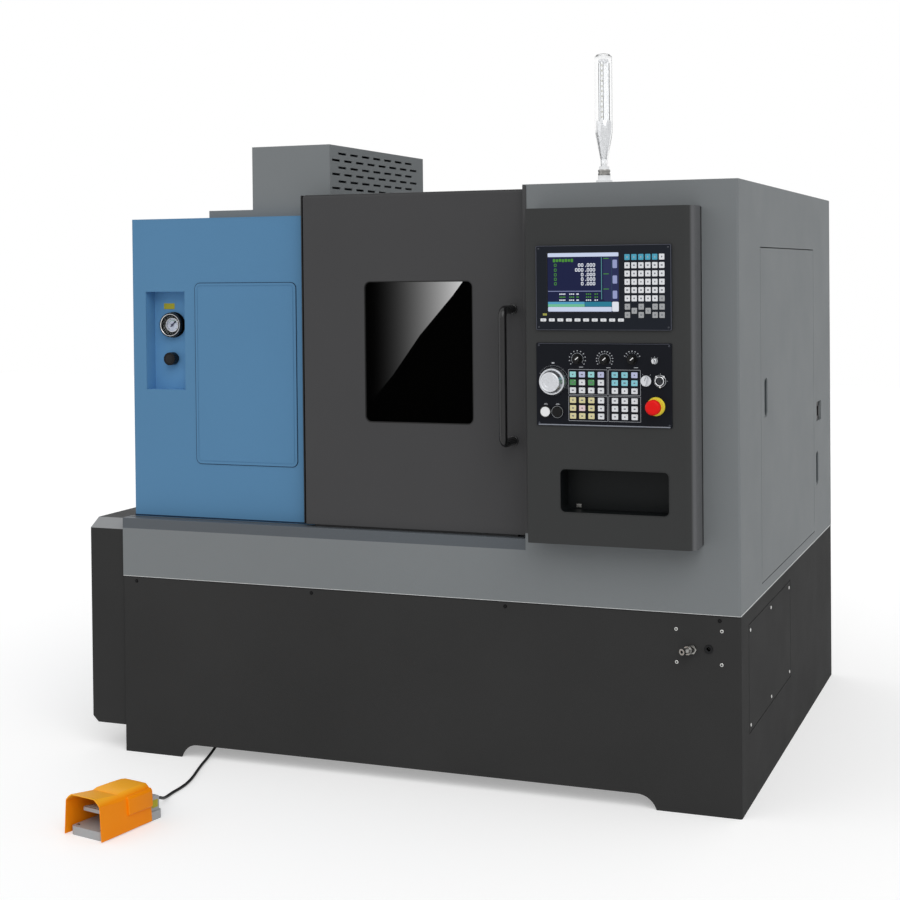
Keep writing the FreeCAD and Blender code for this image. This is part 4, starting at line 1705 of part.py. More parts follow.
def make_foot_switch():
    """Cast base, folded orange guard open at the front, and the hinged pedal."""
    mid = -GUARD_W / 2
    bw = SWITCH_BASE_W / 2
    base = box(mid - bw, mid + bw, 12.0, SWITCH_BASE_L, 0.0, SWITCH_BASE_H)
    base = rounded(base, 10.0, (0, 0, 1))
    rear = box(mid - bw + 6, mid + bw - 6, 170.0, SWITCH_BASE_L - 6, SWITCH_BASE_H - 1, 66.0)
    rear = rounded(rear, 8.0, (1, 0, 0), lambda c: c.z > 60)
    ears = []
    for side in (-1, 1):
        x = mid + side * (PEDAL_W / 2 + 6)
        ears.append(box(x - 4, x + 4, 150.0, 168.0, SWITCH_BASE_H - 1, 58.0))
    gland = rod((mid, SWITCH_BASE_L - 7, CABLE_Z + 4), (0, 1, 0), GLAND_R, GLAND_L + 7)
    base = fuse([base, rear, gland] + ears)
    pin_y, pin_z = 158.0, 50.0
    pin = rod((mid - PEDAL_W / 2 - 8, pin_y, pin_z), (1, 0, 0), 4.0, PEDAL_W + 16)
    base = base.fuse(pin)
    keep("foot_base", switch_frame(base.removeSplitter()))

    t = GUARD_T
    w, h, b = GUARD_W, GUARD_H, GUARD_BEVEL

    def hoop(inset):
        low = 3.0 if inset == 0 else 0.0
        return [(-inset, 0, low), (-inset, 0, h - b), (-b * 0.8, 0, h - inset),
                (-w + b * 0.8, 0, h - inset), (-w + inset, 0, h - b), (-w + inset, 0, low)]

    outer = prism(hoop(0.0), (0, GUARD_L, 0))
    inner = prism([(x, -1, z) for x, _, z in hoop(t)], (0, GUARD_L + 2, 0))
    guard = outer.cut(inner)
    slope = prism([(1, GUARD_L + 1, h - 34), (1, GUARD_L + 1, h + 1), (1, GUARD_L - 45, h + 1)],
                  (-w - 2, 0, 0))
    guard = guard.cut(slope)
    back = box(-w + t, -t, GUARD_L - t, GUARD_L, 68.0, h - 36)
    block = box(-t, GUARD_BLOCK_OUT, 128.0, GUARD_L, 46.0, h - b - 8)
    block = rounded(block, 3.0, (0, 1, 0), lambda c: c.x > 1)
    feet = []
    for x0, x1 in ((-w + t, mid - bw - GAP), (mid + bw + GAP, -t)):
        feet.append(box(x0, x1, 40.0, 150.0, 3.0, 6.0))
    guard = fuse([guard, back, block] + feet)
    keep("foot_guard", switch_frame(guard))

    half = PEDAL_W / 2 - 2
    front = pin_y - PEDAL_L
    plate = box(mid - half, mid + half, front, pin_y + 2, pin_z - 4, pin_z + PEDAL_T - 4)
    plate = rounded(plate, 12.0, (0, 0, 1), lambda c: c.y < front + 1)
    ribs = []
    for k in range(7):
        y = front + 10 + 13 * k
        ribs.append(box(mid - half + 8, mid + half - 8, y, y + 5, pin_z + PEDAL_T - 5,
                        pin_z + PEDAL_T - 2))
    boss = rod((mid - half, pin_y, pin_z), (1, 0, 0), 9.0, 2 * half)
    pedal = fuse([plate, boss] + ribs)
    pedal = pedal.cut(rod((mid - half - 1, pin_y, pin_z), (1, 0, 0), 4.0 + RUN_FIT, 2 * half + 2))
    pedal.rotate(Vec(mid, pin_y, pin_z), Vec(1, 0, 0), -PEDAL_SWING)
    keep("foot_pedal", switch_frame(pedal))


def cable_route():
    """Points of the foot switch's cable, from its gland to the gland under the base."""
    mid = -GUARD_W / 2
    start = switch_point(mid, SWITCH_BASE_L + GLAND_L, CABLE_Z + 4)
    ahead = switch_point(mid, SWITCH_BASE_L + GLAND_L + 30, CABLE_Z + 4)
    end_x, end_y = switch_exit_on_member()
    end = Vec(end_x, end_y, CABLE_Z)
    middle = [Vec(RIGHT_X - x, FRONT_Y + y, z) for x, y, z in CABLE_BENDS]
    return [start, ahead] + middle + [end]


def make_foot_cable():
    points = cable_route()
    radii = []
    for k in range(1, len(points) - 1):
        before = points[k] - points[k - 1]
        after = points[k + 1] - points[k]
        turn = before.getAngle(after)
        radii.append(0.45 * min(before.Length, after.Length) / math.tan(turn / 2))
    print("cable bend radii", [round(r) for r in radii])
    path = rounded_path(points, radii)
    cable = swept_tube(path, CABLE_R)
    section = math.pi * CABLE_R ** 2
    print("cable length %.1f, volume ratio %.4f" % (path.Length, cable.Volume / (section * path.Length)))
    keep("foot_cable", cable)


# ---------------------------------------------------------------- build and write
def build():
    make_base_plinth()
    make_panel_screws()
    make_coolant_fittings()
    make_motor_cover()
    make_front_fascia()
    make_door_rail()
    make_enclosure_shell()
    make_service_door()
    make_cabinet_door()
    make_electrical_plate()
    make_headstock_cover()
    make_access_cover()
    make_air_unit()
    make_gauge_needle()
    make_regulator_knob()
    make_vent_hood()
    make_tower_lamp()
    make_door()
    make_console_housing()
    make_control_unit()
    make_operator_panel()
    make_handwheel()
    make_rotary_knobs()
    make_selector()
    make_locks()
    make_buttons()
    make_headstock()
    make_spindle()
    make_chuck()
    make_hydraulic_cylinder()
    make_spindle_motor()
    make_drive_belt()
    make_bed()
    make_z_servo()
    make_ball_screws()
    make_saddle()
    make_x_servo()
    make_cross_slide()
    make_turret()
    make_chamber_liner()
    make_foot_switch()
    make_foot_cable()


def write():
    os.makedirs("parts", exist_ok=True)
    for name, shape in PARTS.items():
        if not shape.isValid():
            print("not valid:", name)
        shape.exportStep(os.path.join("parts", name + ".step"))
    print(len(PARTS), "sub-parts written")


build()
write()
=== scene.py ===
"""Looks of the turning lathe: camera, studio, paint, glass, controls and the foot switch's cable."""
from math import cos, pi, radians, sin

import bmesh
import bpy
from mathutils import Matrix, Vector


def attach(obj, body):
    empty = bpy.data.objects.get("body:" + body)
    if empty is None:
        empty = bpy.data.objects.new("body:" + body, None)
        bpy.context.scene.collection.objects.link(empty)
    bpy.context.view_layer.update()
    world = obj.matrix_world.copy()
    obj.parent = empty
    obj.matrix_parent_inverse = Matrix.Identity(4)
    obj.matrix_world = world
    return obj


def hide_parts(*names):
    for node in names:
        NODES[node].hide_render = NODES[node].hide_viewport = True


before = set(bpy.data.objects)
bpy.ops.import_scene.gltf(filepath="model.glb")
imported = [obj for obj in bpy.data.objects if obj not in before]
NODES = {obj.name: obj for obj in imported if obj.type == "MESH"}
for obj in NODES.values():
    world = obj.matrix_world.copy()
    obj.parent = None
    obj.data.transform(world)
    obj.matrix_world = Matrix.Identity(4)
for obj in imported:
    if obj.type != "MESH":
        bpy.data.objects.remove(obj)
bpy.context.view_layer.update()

# -------- camera
# Standing at the machine's front right corner at console height, with a long lens held nearly
# level and shifted down so that the machine's upright edges stay upright.
CAMERA_AT = Vector((1.96405, -5.34335, 1.54887))
CAMERA_YAW = 21.1835
CAMERA_PITCH = 1.0
CAMERA_ROLL = 0.5601
LENS = 65.369
LENS_SHIFT_Y = -0.16757

yaw = radians(CAMERA_YAW)
pitch = radians(CAMERA_PITCH)
roll = radians(CAMERA_ROLL)
look = Vector((-sin(yaw) * cos(pitch), cos(yaw) * cos(pitch), -sin(pitch)))
level = Vector((cos(yaw), sin(yaw), 0))
upright = level.cross(look)
across = level * cos(roll) - upright * sin(roll)
above = level * sin(roll) + upright * cos(roll)
pose = Matrix((across, above, -look)).transposed().to_4x4()
pose.translation = CAMERA_AT
lens = bpy.data.cameras.new("camera")
lens.lens = LENS
lens.sensor_width = 36.0
lens.shift_y = LENS_SHIFT_Y
camera = bpy.data.objects.new("camera", lens)
camera.matrix_world = pose
bpy.context.collection.objects.link(camera)
bpy.context.scene.camera = camera

# -------- foot switch cable
# Black rubber-sheathed lead from the gland under the base to the foot switch, lying on the floor
# in loose curves. It enters both housings through glands with moulded strain-relief sleeves.
CABLE_R = 0.0045
CABLE_ROUTE = [
    (-0.651, -0.659, 0.03), (-0.651, -0.705, 0.03), (-0.648, -0.751, 0.014),
    (-0.64, -0.799, 0.0055), (-0.626, -0.856, 0.0045), (-0.609, -0.913, 0.0045),
    (-0.59, -0.97, 0.0045), (-0.574, -1.027, 0.0045), (-0.566, -1.084, 0.0045),
    (-0.567, -1.137, 0.0045), (-0.561, -1.184, 0.0055), (-0.547, -1.225, 0.016),
    (-0.53547, -1.26654, 0.034), (-0.54171, -1.29589, 0.034),
]

AHEAD = (0, -1, 0)
UP = (0, 0, 1)
# directions across a face, up it and out of it
FRONT = ((1, 0, 0), UP, AHEAD)
RIGHT = ((0, 1, 0), UP, (1, 0, 0))
BACK = ((-1, 0, 0), UP, (0, 1, 0))
# what is being drawn: piece() makes an object of it and clears it
bm = bmesh.new()
# levels of a thin print: twice (inset, height), in millimetres
PRINT = ((0, -0.08), (0, 0.08))


def linear(colour):
    """A colour written in 0 to 255 screen values, as the linear colour that a material takes."""
    return tuple(c / 255 / 12.92 if c <= 10 else ((c / 255 + 0.055) / 1.055) ** 2.4 for c in colour) + (1.0,)


def scaled(colour, k):
    return tuple(c * k for c in colour[:3]) + (1.0,)


def new_material(name):
    mat = bpy.data.materials.new(name)
    mat.use_nodes = True
    return mat, mat.node_tree, mat.node_tree.nodes["Principled BSDF"]


def feed(tree, node, given):
    """Fill a node's inputs: another node's output is linked, and a value is set."""
    for key, value in given.items():
        if isinstance(value, bpy.types.NodeSocket):
            tree.links.new(value, node.inputs[key])
        else:
            node.inputs[key].default_value = value


def add(tree, kind, given, **settings):
    """New shader node of a kind; its outputs are handed back."""
    node = tree.nodes.new("ShaderNode" + kind)
    for key, value in settings.items():
        setattr(node, key, value)
    feed(tree, node, given)
    return node.outputs


def math_of(tree, operation, one, two):
    return add(tree, "Math", {0: one, 1: two}, operation=operation)[0]


def own_place(tree):
    return add(tree, "TexCoord", {})["Object"]


def mottle(tree, scale, low=0.0, high=1.0, stretch=(1, 1, 1), detail=3.0):
    """Noise on the object's own coordinates, spread between two values."""
    place = add(tree, "Mapping", {"Vector": own_place(tree), "Scale": stretch})["Vector"]
    noise = add(tree, "TexNoise", {"Vector": place, "Scale": scale, "Detail": detail})["Fac"]
    return add(tree, "MapRange", {"Value": noise, "From Min": 0.3, "From Max": 0.7,
                                  "To Min": low, "To Max": high})["Result"]


def blend(tree, factor, one, two):
    """Colour between two colours or colour outputs."""
    return add(tree, "Mix", {0: factor, 6: one, 7: two}, data_type="RGBA")[2]


def beyond(tree, heading, start, soft):
    """0 before a plane and 1 past it: the plane stands at a distance along a heading."""
    along = add(tree, "VectorMath", {0: own_place(tree), 1: heading}, operation="DOT_PRODUCT")["Value"]
    return add(tree, "MapRange", {"Value": along, "From Min": start, "From Max": start + soft})["Result"]


def inside(tree, low, high):
    """1 within a box and 0 outside it."""
    found = own_place(tree)
    middle = tuple((a + b) / 2 for a, b in zip(low, high))
    half = tuple((b - a) / 2 for a, b in zip(low, high))
    for operation, given in (("SUBTRACT", {1: middle}), ("ABSOLUTE", {}), ("SUBTRACT", {1: half})):
        found = add(tree, "VectorMath", {0: found, **given}, operation=operation)[0]
    parts = add(tree, "SeparateXYZ", {0: found})
    furthest = math_of(tree, "MAXIMUM", math_of(tree, "MAXIMUM", parts[0], parts[1]), parts[2])
    return add(tree, "MapRange", {"Value": furthest, "From Min": 0.0006, "From Max": 0.0})["Result"]


def surface(tree, shader, marks, colour, tone, past, within, grain_scale, depth, stretch=(1, 1, 1)):
    """Close tones of a colour, and a fine bump with its depth in metres. past gives a plane
    (heading, distance), the colour beyond it and its softness; within gives a box and its colour."""
    colour = linear(colour)
    shade = blend(tree, marks, scaled(colour, 1 - tone), scaled(colour, 1 + tone))
    if past:
        heading, start, other, soft = past
        shade = blend(tree, beyond(tree, heading, start, soft), shade, linear(other))
    if within:
        low, high, other = within
        shade = blend(tree, inside(tree, low, high), shade, linear(other))
    height = mottle(tree, grain_scale, stretch=stretch, detail=2.0)
    bump = add(tree, "Bump", {"Distance": depth, "Height": height})["Normal"]
    feed(tree, shader, {"Base Color": shade, "Normal": bump})


def coat(name, colour, rough=0.42, gloss=0.4, tone=0.05, peel=0.00012, fine=420, past=None,
         within=None, glow=0.0):
    """Sprayed or moulded finish, with uneven gloss and fine orange peel."""
    mat, tree, shader = new_material(name)
    surface(tree, shader, mottle(tree, 2.3), colour, tone, past, within, fine, peel)
    feed(tree, shader, {"Roughness": mottle(tree, 6.0, rough * 0.94, rough * 1.06),
                        "Specular IOR Level": gloss, "Emission Strength": glow})
    return mat


def lit_field(name, colour):
    """Field of a lit display: light of its colour, a little uneven, behind dark glass."""
    mat, tree, shader = new_material(name)
    colour = linear(colour)
    shade = blend(tree, mottle(tree, 900.0), scaled(colour, 0.9), colour)
    feed(tree, shader, {"Base Color": scaled(colour, 0.04), "Roughness": mottle(tree, 30.0, 0.2, 0.28),
                        "Specular IOR Level": 0.1, "Emission Color": shade, "Emission Strength": 0.95})
    return mat


def dress(mat, *names):
    """Give CAD nodes a material."""
    for name in names:
        mats = NODES[name].data.materials
        if not mats:
            mats.append(mat)
        for k in range(len(mats)):
            mats[k] = mat


def skin(at, rings, side=FRONT, turn=0.0, index=0, loop=False):
    """Closed skin over outlines, each given with its height over a face."""
    over, up, out = (Vector(d) for d in side)
    c, s = cos(turn), sin(turn)
    made = []
    for points, height in rings:
        base = Vector(at) + out * height
        made.append([bm.verts.new(base + over * (u * c - v * s) + up * (u * s + v * c)) for u, v in points])
    for low, high in zip(made, made[1:] + made[:1] if loop else made[1:]):
        for k in range(len(low)):
            j = (k + 1) % len(low)
            bm.faces.new((low[k], low[j], high[j], high[k])).material_index = index
    if not loop:
        bm.faces.new(made[0]).material_index = index
        bm.faces.new(made[-1]).material_index = index


def moved(at, x=0.0, y=0.0, z=0.0):
    return (at[0] + x, at[1] + y, at[2] + z)


def around(at, radius, turn, out=0.0):
    """Point of a circle about a point of a front face, lifted off that face."""
    return moved(at, radius * cos(turn), -out, radius * sin(turn))


def stepped(width, height, corner, levels, steps, least):
    """A rounded rectangle about its middle for each (inset, height) level, from millimetres."""
    rings = []
    for inset, rise in levels:
        r = max(corner - inset, least)
        points = []
        for sx, sy, start in ((1, 1, 0), (-1, 1, 90), (-1, -1, 180), (1, -1, 270)):
            for k in range(steps + 1):
                a = radians(start + 90 * k / steps)
                points.append(((sx * (width / 2 - inset - r) + r * cos(a)) / 1000,
                               (sy * (height / 2 - inset - r) + r * sin(a)) / 1000))
        rings.append((points, rise / 1000))
    return rings


def slab(at, width, height, corner, levels, side=FRONT, turn=0.0, index=0, steps=4):
    """Rounded plate or cap, built up from (inset, height) levels in millimetres."""
    skin(at, stepped(width, height, corner, levels, steps, 0.1), side, turn, index)


def band(at, width, height, corner, levels, side=FRONT, index=0, steps=6):
    """Frame round an opening: its section is a closed run of (inset, height) levels in millimetres."""
    skin(at, stepped(width, height, corner, levels, steps, 0.3), side, 0.0, index, loop=True)


def printed(x0, x1, z0, z1, y, index=0):
    """Thin raised field of print on a front face."""
    width, height = (x1 - x0) * 1000, (z1 - z0) * 1000
    slab(((x0 + x1) / 2, y, (z0 + z1) / 2), width, height, min(width, height) * 0.12, PRINT, FRONT, 0, index,
         1)


def turned_rings(profile, origin, axis, segments=48, index=0, ripple=0.0):
    """Revolve (radius, distance) points in millimetres about an axis through a point. A profile
    that doesn't start on the axis is closed into a ring."""
    axis = Vector(axis).normalized()
    side = axis.orthogonal().normalized()
    other = axis.cross(side)
    rings = []
    for radius, along in profile:
        centre = Vector(origin) + axis * (along / 1000)
        if not radius:
            rings.append([bm.verts.new(centre)])
            continue
        ring = []
        for k in range(segments):
            a = 2 * pi * k / segments
            r = radius / 1000 * (1 - ripple * (k % 2))
            ring.append(bm.verts.new(centre + (side * cos(a) + other * sin(a)) * r))
        rings.append(ring)
    for low, high in zip(rings, rings[1:] + rings[:1] if profile[0][0] else rings[1:]):
        for k in range(segments):
            j = (k + 1) % segments
            if len(low) == 1 and len(high) == 1:
                continue
            if len(low) == 1:
                face = bm.faces.new((low[0], high[j], high[k]))
            elif len(high) == 1:
                face = bm.faces.new((low[k], low[j], high[0]))
            else:
                face = bm.faces.new((low[k], low[j], high[j], high[k]))
            face.material_index = index


def piece(name, mats, smooth=32, body="machine"):
    """New object from what was drawn, riding on a body, with the given materials."""
    bmesh.ops.recalc_face_normals(bm, faces=bm.faces)
    mesh = bpy.data.meshes.new(name)
    bm.to_mesh(mesh)
    bm.clear()
    made = bpy.data.objects.new(name, mesh)
    bpy.context.collection.objects.link(made)
    for mat in mats:
        mesh.materials.append(mat)
    mesh.polygons.foreach_set("use_smooth", [True] * len(mesh.polygons))
    mesh.set_sharp_from_angle(angle=radians(smooth))
    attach(made, body)
    return made


def turned(name, profile, origin, axis, mat, segments=48, smooth=35, ripple=0.0, body="machine"):
    turned_rings(profile, origin, axis, segments, 0, ripple)
    return piece(name, [mat], smooth, body)


sheath = coat("cable_rubber", (30, 30, 31), 0.5, 0.35, tone=0.1, fine=900)
line = bpy.data.curves.new("foot_switch_cable", "CURVE")
line.dimensions = "3D"
line.bevel_depth = CABLE_R
line.bevel_resolution = 5
line.resolution_u = 10
run = line.splines.new("NURBS")
run.points.add(len(CABLE_ROUTE) - 1)
for point, place in zip(run.points, CABLE_ROUTE):
    point.co = (*place, 1.0)
run.order_u = 3
run.use_endpoint_u = True
line.materials.append(sheath)
cable = bpy.data.objects.new("foot_switch_cable", line)
bpy.context.collection.objects.link(cable)
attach(cable, "machine")
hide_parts("foot_cable")

GLAND_SLEEVE = [(0, 1), (11.2, 1), (11.8, 3.5), (11.8, 13.5), (10.2, 16), (9.2, 21), (8, 28), (6.4, 40),
                (5.2, 46), (4.6, 47)]
SWITCH_TURN = radians(12)
SLEEVE_BACK = 0.018
switch_heading = Vector((sin(SWITCH_TURN), cos(SWITCH_TURN), 0))
switch_gland = turned("switch_cable_gland", GLAND_SLEEVE,
                      Vector(CABLE_ROUTE[-1]) - switch_heading * SLEEVE_BACK, switch_heading, sheath)
turned("base_cable_gland", GLAND_SLEEVE, Vector(CABLE_ROUTE[0]) + Vector((0, SLEEVE_BACK, 0)), AHEAD, sheath)

# -------- studio
# Pale floor and white surroundings, one large soft key light and a weaker fill from the left. A
# dark card with a lit sloping field stands to the left of the camera, seen only in reflections.
WORLD_FILL = 0.66
KEY_STRENGTH = 0.95
FILL_STRENGTH = 0.25
FLOOR_GLOW = 0.34
GLASS_Y = -0.779
CARD_Y = -4.5
CARD_LIGHT = 4.9

scene = bpy.context.scene
scene.view_settings.view_transform = "Standard"
world = bpy.data.worlds.new("studio")
scene.world = world
world.use_nodes = True
sky = world.node_tree


def seen_by(tree, *kinds):
    """1 for the rays of these kinds and 0 for the rest."""
    rays = add(tree, "LightPath", {})
    seen = rays[kinds[0]]
    for kind in kinds[1:]:
        seen = math_of(tree, "MAXIMUM", seen, rays[kind])
    return seen


straight = seen_by(sky, "Is Camera Ray", "Is Glossy Ray", "Is Transmission Ray")
fill = add(sky, "MapRange", {"Value": straight, "To Min": WORLD_FILL, "To Max": 1.0})["Result"]
feed(sky, sky.nodes["Background"], {"Color": (1, 1, 1, 1), "Strength": fill})


def sun(name, heading, strength, spread):
    lamp = bpy.data.lights.new(name, "SUN")
    lamp.energy = strength
    lamp.angle = radians(spread)
    holder = bpy.data.objects.new(name, lamp)
    holder.rotation_mode = "QUATERNION"
    holder.rotation_quaternion = Vector(heading).to_track_quat("-Z", "Y")
    bpy.context.collection.objects.link(holder)


sun("key_light", (-0.45, 0.75, -0.75), KEY_STRENGTH, 50)
sun("fill_light", (0.8, 0.55, -0.35), FILL_STRENGTH, 60)


def stage_piece(name, points, face, mat):
    mesh = bpy.data.meshes.new(name)
    mesh.from_pydata(points, [], [face])
    mesh.materials.append(mat)
    made = bpy.data.objects.new(name, mesh)
    bpy.context.collection.objects.link(made)
    return made


floor_mat, tree, shader = new_material("studio_floor")
feed(tree, shader, {"Base Color": (0.8, 0.8, 0.8, 1), "Roughness": 1.0, "Specular IOR Level": 0.0})
glow = add(tree, "Emission", {"Strength": FLOOR_GLOW})[0]
dark = add(tree, "Emission", {"Strength": 0.0})[0]
pick = add(tree, "MixShader", {0: seen_by(tree, "Is Camera Ray", "Is Glossy Ray"), 1: dark, 2: glow})[0]
both = add(tree, "AddShader", {0: shader.outputs[0], 1: pick})[0]
feed(tree, tree.nodes["Material Output"], {"Surface": both})
stage_piece("floor", [(-14, -9, 0), (14, -9, 0), (14, 16, 0), (-14, 16, 0)], (0, 1, 2, 3), floor_mat)


def mirrored(x, z, y):
    """Where a ray from the camera, turned back by the window at (x, z), meets the plane y."""
    k = 1 + (GLASS_Y - y) / (GLASS_Y - CAMERA_AT.y)
    return (CAMERA_AT.x + k * (x - CAMERA_AT.x), y, CAMERA_AT.z + k * (z - CAMERA_AT.z))


CARD_FIELD = [(-0.11, 1.56), (0.27, 1.56), (0.2374, 1.5176), (0.2049, 1.4759), (0.0969, 1.3556),
              (0.0069, 1.2335), (-0.0739, 1.1405), (-0.0842, 1.1188), (-0.094, 1.09), (-0.11, 1.07)]
card_black, tree, shader = new_material("card_black")
feed(tree, shader, {"Base Color": (0, 0, 0, 1), "Specular IOR Level": 0.0})
card_lit, tree, shader = new_material("card_lit")
spot = add(tree, "SeparateXYZ", {0: own_place(tree)})["X"]
ramp = add(tree, "MapRange", {"Value": spot, "From Min": mirrored(-0.084, 0, CARD_Y)[0],
                              "From Max": mirrored(0.195, 0, CARD_Y)[0]}, clamp=False)["Result"]
curve = math_of(tree, "POWER", math_of(tree, "MAXIMUM", ramp, 0.05), 2.75)
feed(tree, shader, {"Base Color": (0, 0, 0, 1), "Specular IOR Level": 0.0, "Emission Color": (1, 1, 1, 1),
                    "Emission Strength": math_of(tree, "MULTIPLY", curve, CARD_LIGHT)})
cards = [stage_piece("dark_card", [mirrored(x, z, CARD_Y - 0.01) for x, z in
                                   ((-0.14, 1.03), (0.33, 1.03), (0.33, 1.58), (-0.14, 1.58))],
                     (0, 1, 2, 3), card_black),
         stage_piece("lit_field", [mirrored(x, z, CARD_Y) for x, z in CARD_FIELD],
                     tuple(range(len(CARD_FIELD))), card_lit)]
for card in cards:
    card.visible_camera = card.visible_diffuse = card.visible_transmission = card.visible_shadow = False

# -------- black base and motor cover
# Welded plinth of 6 mm plate, and the bolted folded cover over the spindle motor. Both are sprayed
# in a satin near-black with a light orange peel. The cover's bevel is painted light grey, a painted
# highlight.
BEVEL_FACING = (0.0, -0.5039, 0.8638)
BEVEL_PLANE = 1.0199
SEAM_Z = 0.57
dress(coat("base_paint", (56, 56, 56), 0.6, 0.01), "base_plinth")
# past the bevel plane the paint turns light grey: a painted highlight on the bevel
dress(coat("motor_cover_paint_painted_highlight", (52, 52, 52), 0.5, 0.06,
           past=(BEVEL_FACING, BEVEL_PLANE, (148, 149, 150), 0.0004)), "motor_cover")
sealant = coat("seam_sealant", (26, 26, 27), 0.5, 0.2, tone=0.08, fine=700)
# near-white strip along the band's lower fold, above the dark sealant line: a painted highlight
seam_edge_painted_highlight = coat("seam_edge_painted_highlight", (226, 228, 228), 0.45, 0.2, tone=0.04, fine=700)
for x, y, side, length, lift, tall, corner in ((0.063, -0.801, FRONT, 2009.4, 0.0013, 1.1, 0.3),
                                               (1.068, 0.074, RIGHT, 1748, 0.0018, 2.1, 0.5)):
    slab((x, y, SEAM_Z - 0.0008), length, 3, 0.8, ((0, -0.2), (0, 0.4), (0.5, 0.8)), side, steps=2)
    slab((x, y, SEAM_Z + lift), length, tall, corner, ((0, -0.2), (0, 0.4)), side, 0, 1, 2)
piece("seam_sealant", [sealant, seam_edge_painted_highlight])

# -------- screws and fittings
# Domed hexagon-socket screws, black along the seam and zinc plated round the fittings, and
# nickelled coolant fittings screwed into the front plate.
FRONT_PLATE_Y = -0.801
FRONT_SCREWS = [(-0.892, 0.556), (-0.266, 0.556), (0.369, 0.556), (1.008, 0.556),
                (0.883, 0.525), (1.014, 0.527), (0.884, 0.431), (1.013, 0.432)]
PORT_AT = (0.976, FRONT_PLATE_Y - 0.003, 0.474)
TAIL_ROOT = (0.929, FRONT_PLATE_Y - 0.006, 0.471)
TAIL_TURN = radians(25)


def metal(name, colour, rough, brush=(1, 1, 1), brush_scale=300, tone=0.08, past=None):
    """Bare or plated metal with fine tool marks."""
    mat, tree, shader = new_material(name)
    marks = mottle(tree, brush_scale, stretch=brush)
    surface(tree, shader, marks, colour, tone, past, None, brush_scale, 0.00002, brush)
    feed(tree, shader, {"Roughness": mottle(tree, brush_scale * 0.4, rough * 0.8, rough * 1.25, brush),
                        "Metallic": 1.0})
    return mat


dress(metal("zinc_plate", (186, 186, 184), 0.24, past=(UP, 0.54, (26, 26, 27), 0.002)), "panel_screws")
nickel = metal("nickel_plate", (150, 149, 146), 0.24)
fitting_metal = metal("fitting_metal", (150, 149, 146), 0.24, past=((1, 0, 0), 0.955, (38, 38, 39), 0.001))
# near-black for the tower lamp's dark rails, and as painted shade in hollows: socket discs, a bore disc and
# a lock cup
hollow_shade_and_dark_rail = coat("hollow_shade_and_dark_rail", (12, 12, 12), 0.7, 0.2, tone=0.1)
dress(fitting_metal, "coolant_fittings")
# flat near-black discs on the screw heads: painted shade in their sockets
for x, z in FRONT_SCREWS:
    turned_rings([(0, -0.4), (2.7, -0.4), (2.7, 0.06), (0, 0.06)], (x, FRONT_PLATE_Y - 0.002, z), AHEAD, 6)
piece("screw_socket_shade", [hollow_shade_and_dark_rail], 20)
thread = [(6.7, 0)]
for k in range(8):
    thread += [(6.0, -0.5 - 1.4 * k), (6.7, -1.2 - 1.4 * k)]
thread += [(7.2, -11.9), (7.2, 0.2), (6.7, 0.5)]
turned("port_thread", thread, PORT_AT, AHEAD, fitting_metal, 32, 25)
tail_way = Vector((-sin(TAIL_TURN), -cos(TAIL_TURN), 0))
turned("hose_swivel", [(10.6, 14.2), (12.4, 14.2), (13, 15), (13, 17.6), (12.2, 18.4), (13, 19.2),
                       (13, 22.2), (12.2, 23), (8.8, 23), (8.8, 14.2)], TAIL_ROOT, tail_way, nickel,
       40, 25)
# near-black disc inside the hose tail: painted shade in its bore
turned_rings([(0, 40), (4.4, 40), (4.4, 40.4), (0, 40.4)], TAIL_ROOT, tail_way, 24)
piece("hose_tail_bore_shade", [hollow_shade_and_dark_rail])

# -------- grey cabinet
# Folded and welded 3 mm sheet sprayed in mid grey: fascia band, housing, doors and vent hood. The
# recessed pulls have grey moulded inserts, the main switch is black, and the rear door has two locks.
PULLS = [(-0.401, 1.156, "service_door"), (0.611, 0.825, "machine")]
RIGHT_FACE_X = 1.068
SWITCH_PLATE = (RIGHT_FACE_X - 0.01, 0.661, 1.028)
REAR_FACE_Y = 0.949
LOCKS = [(-0.172, 0.86), (-0.172, 1.48)]

dress(coat("grey_paint", (123, 127, 129), 0.55, 0.06, tone=0.02), "front_fascia", "enclosure_shell",
      "service_door", "cabinet_door", "vent_hood")
dress(coat("rail_paint", (84, 89, 94), 0.45, 0.25, tone=0.03), "door_rail")
black_plastic = coat("black_plastic", (22, 22, 23), 0.4, 0.22, fine=1400, peel=0.00004)
pull_grey = coat("pull_grey", (74, 80, 82), 0.5, 0.1)
for k, (y, z, body) in enumerate(PULLS):
    slab((RIGHT_FACE_X - 0.014, y + 0.015, z), 27.6, 109.6, 12.8, ((0, 0.1), (0, 0.4), (0.6, 0.8)), RIGHT,
         steps=6)
    band((RIGHT_FACE_X - 0.003, y + 0.015, z), 30, 112, 14.2,
         ((1.2, -10), (0.4, 0), (0.8, 0.5), (1.8, 0.5), (2.2, 0), (2.2, -10)), RIGHT)
    piece("pull_insert_%d" % (k + 1), [pull_grey], body=body)
slab(SWITCH_PLATE, 104, 68, 4, ((0, 0.1), (0, 1.4), (0.5, 2)), RIGHT)
turned_rings([(0, 1.8), (21, 1.8), (21, 4), (19.5, 5.5), (0, 5.5)], SWITCH_PLATE, (1, 0, 0), 40)
slab(SWITCH_PLATE, 11, 36, 4, ((0, 5.2), (0, 8.6), (1.2, 9.6)), RIGHT)
for dy in (-0.044, 0.044):
    turned_rings([(0, 1), (3.2, 1), (2.8, 3.2), (0, 3.4)],
                 (SWITCH_PLATE[0], SWITCH_PLATE[1] + dy, SWITCH_PLATE[2]), (1, 0, 0), 16)
piece("main_switch", [black_plastic])
for x, z in LOCKS:
    turned_rings([(0, -2.8), (13.6, -2.8), (13.6, -1.2), (12.6, -0.4), (6.2, -0.4), (6.2, -2.2), (0, -2.2)],
                 (x, REAR_FACE_Y, z), (0, 1, 0), 36)
    slab((x, REAR_FACE_Y, z), 10, 2.2, 0.6, ((0, -2.3), (0.2, -0.9)), BACK)
piece("rear_door_locks", [nickel], 30, body="cabinet_door")

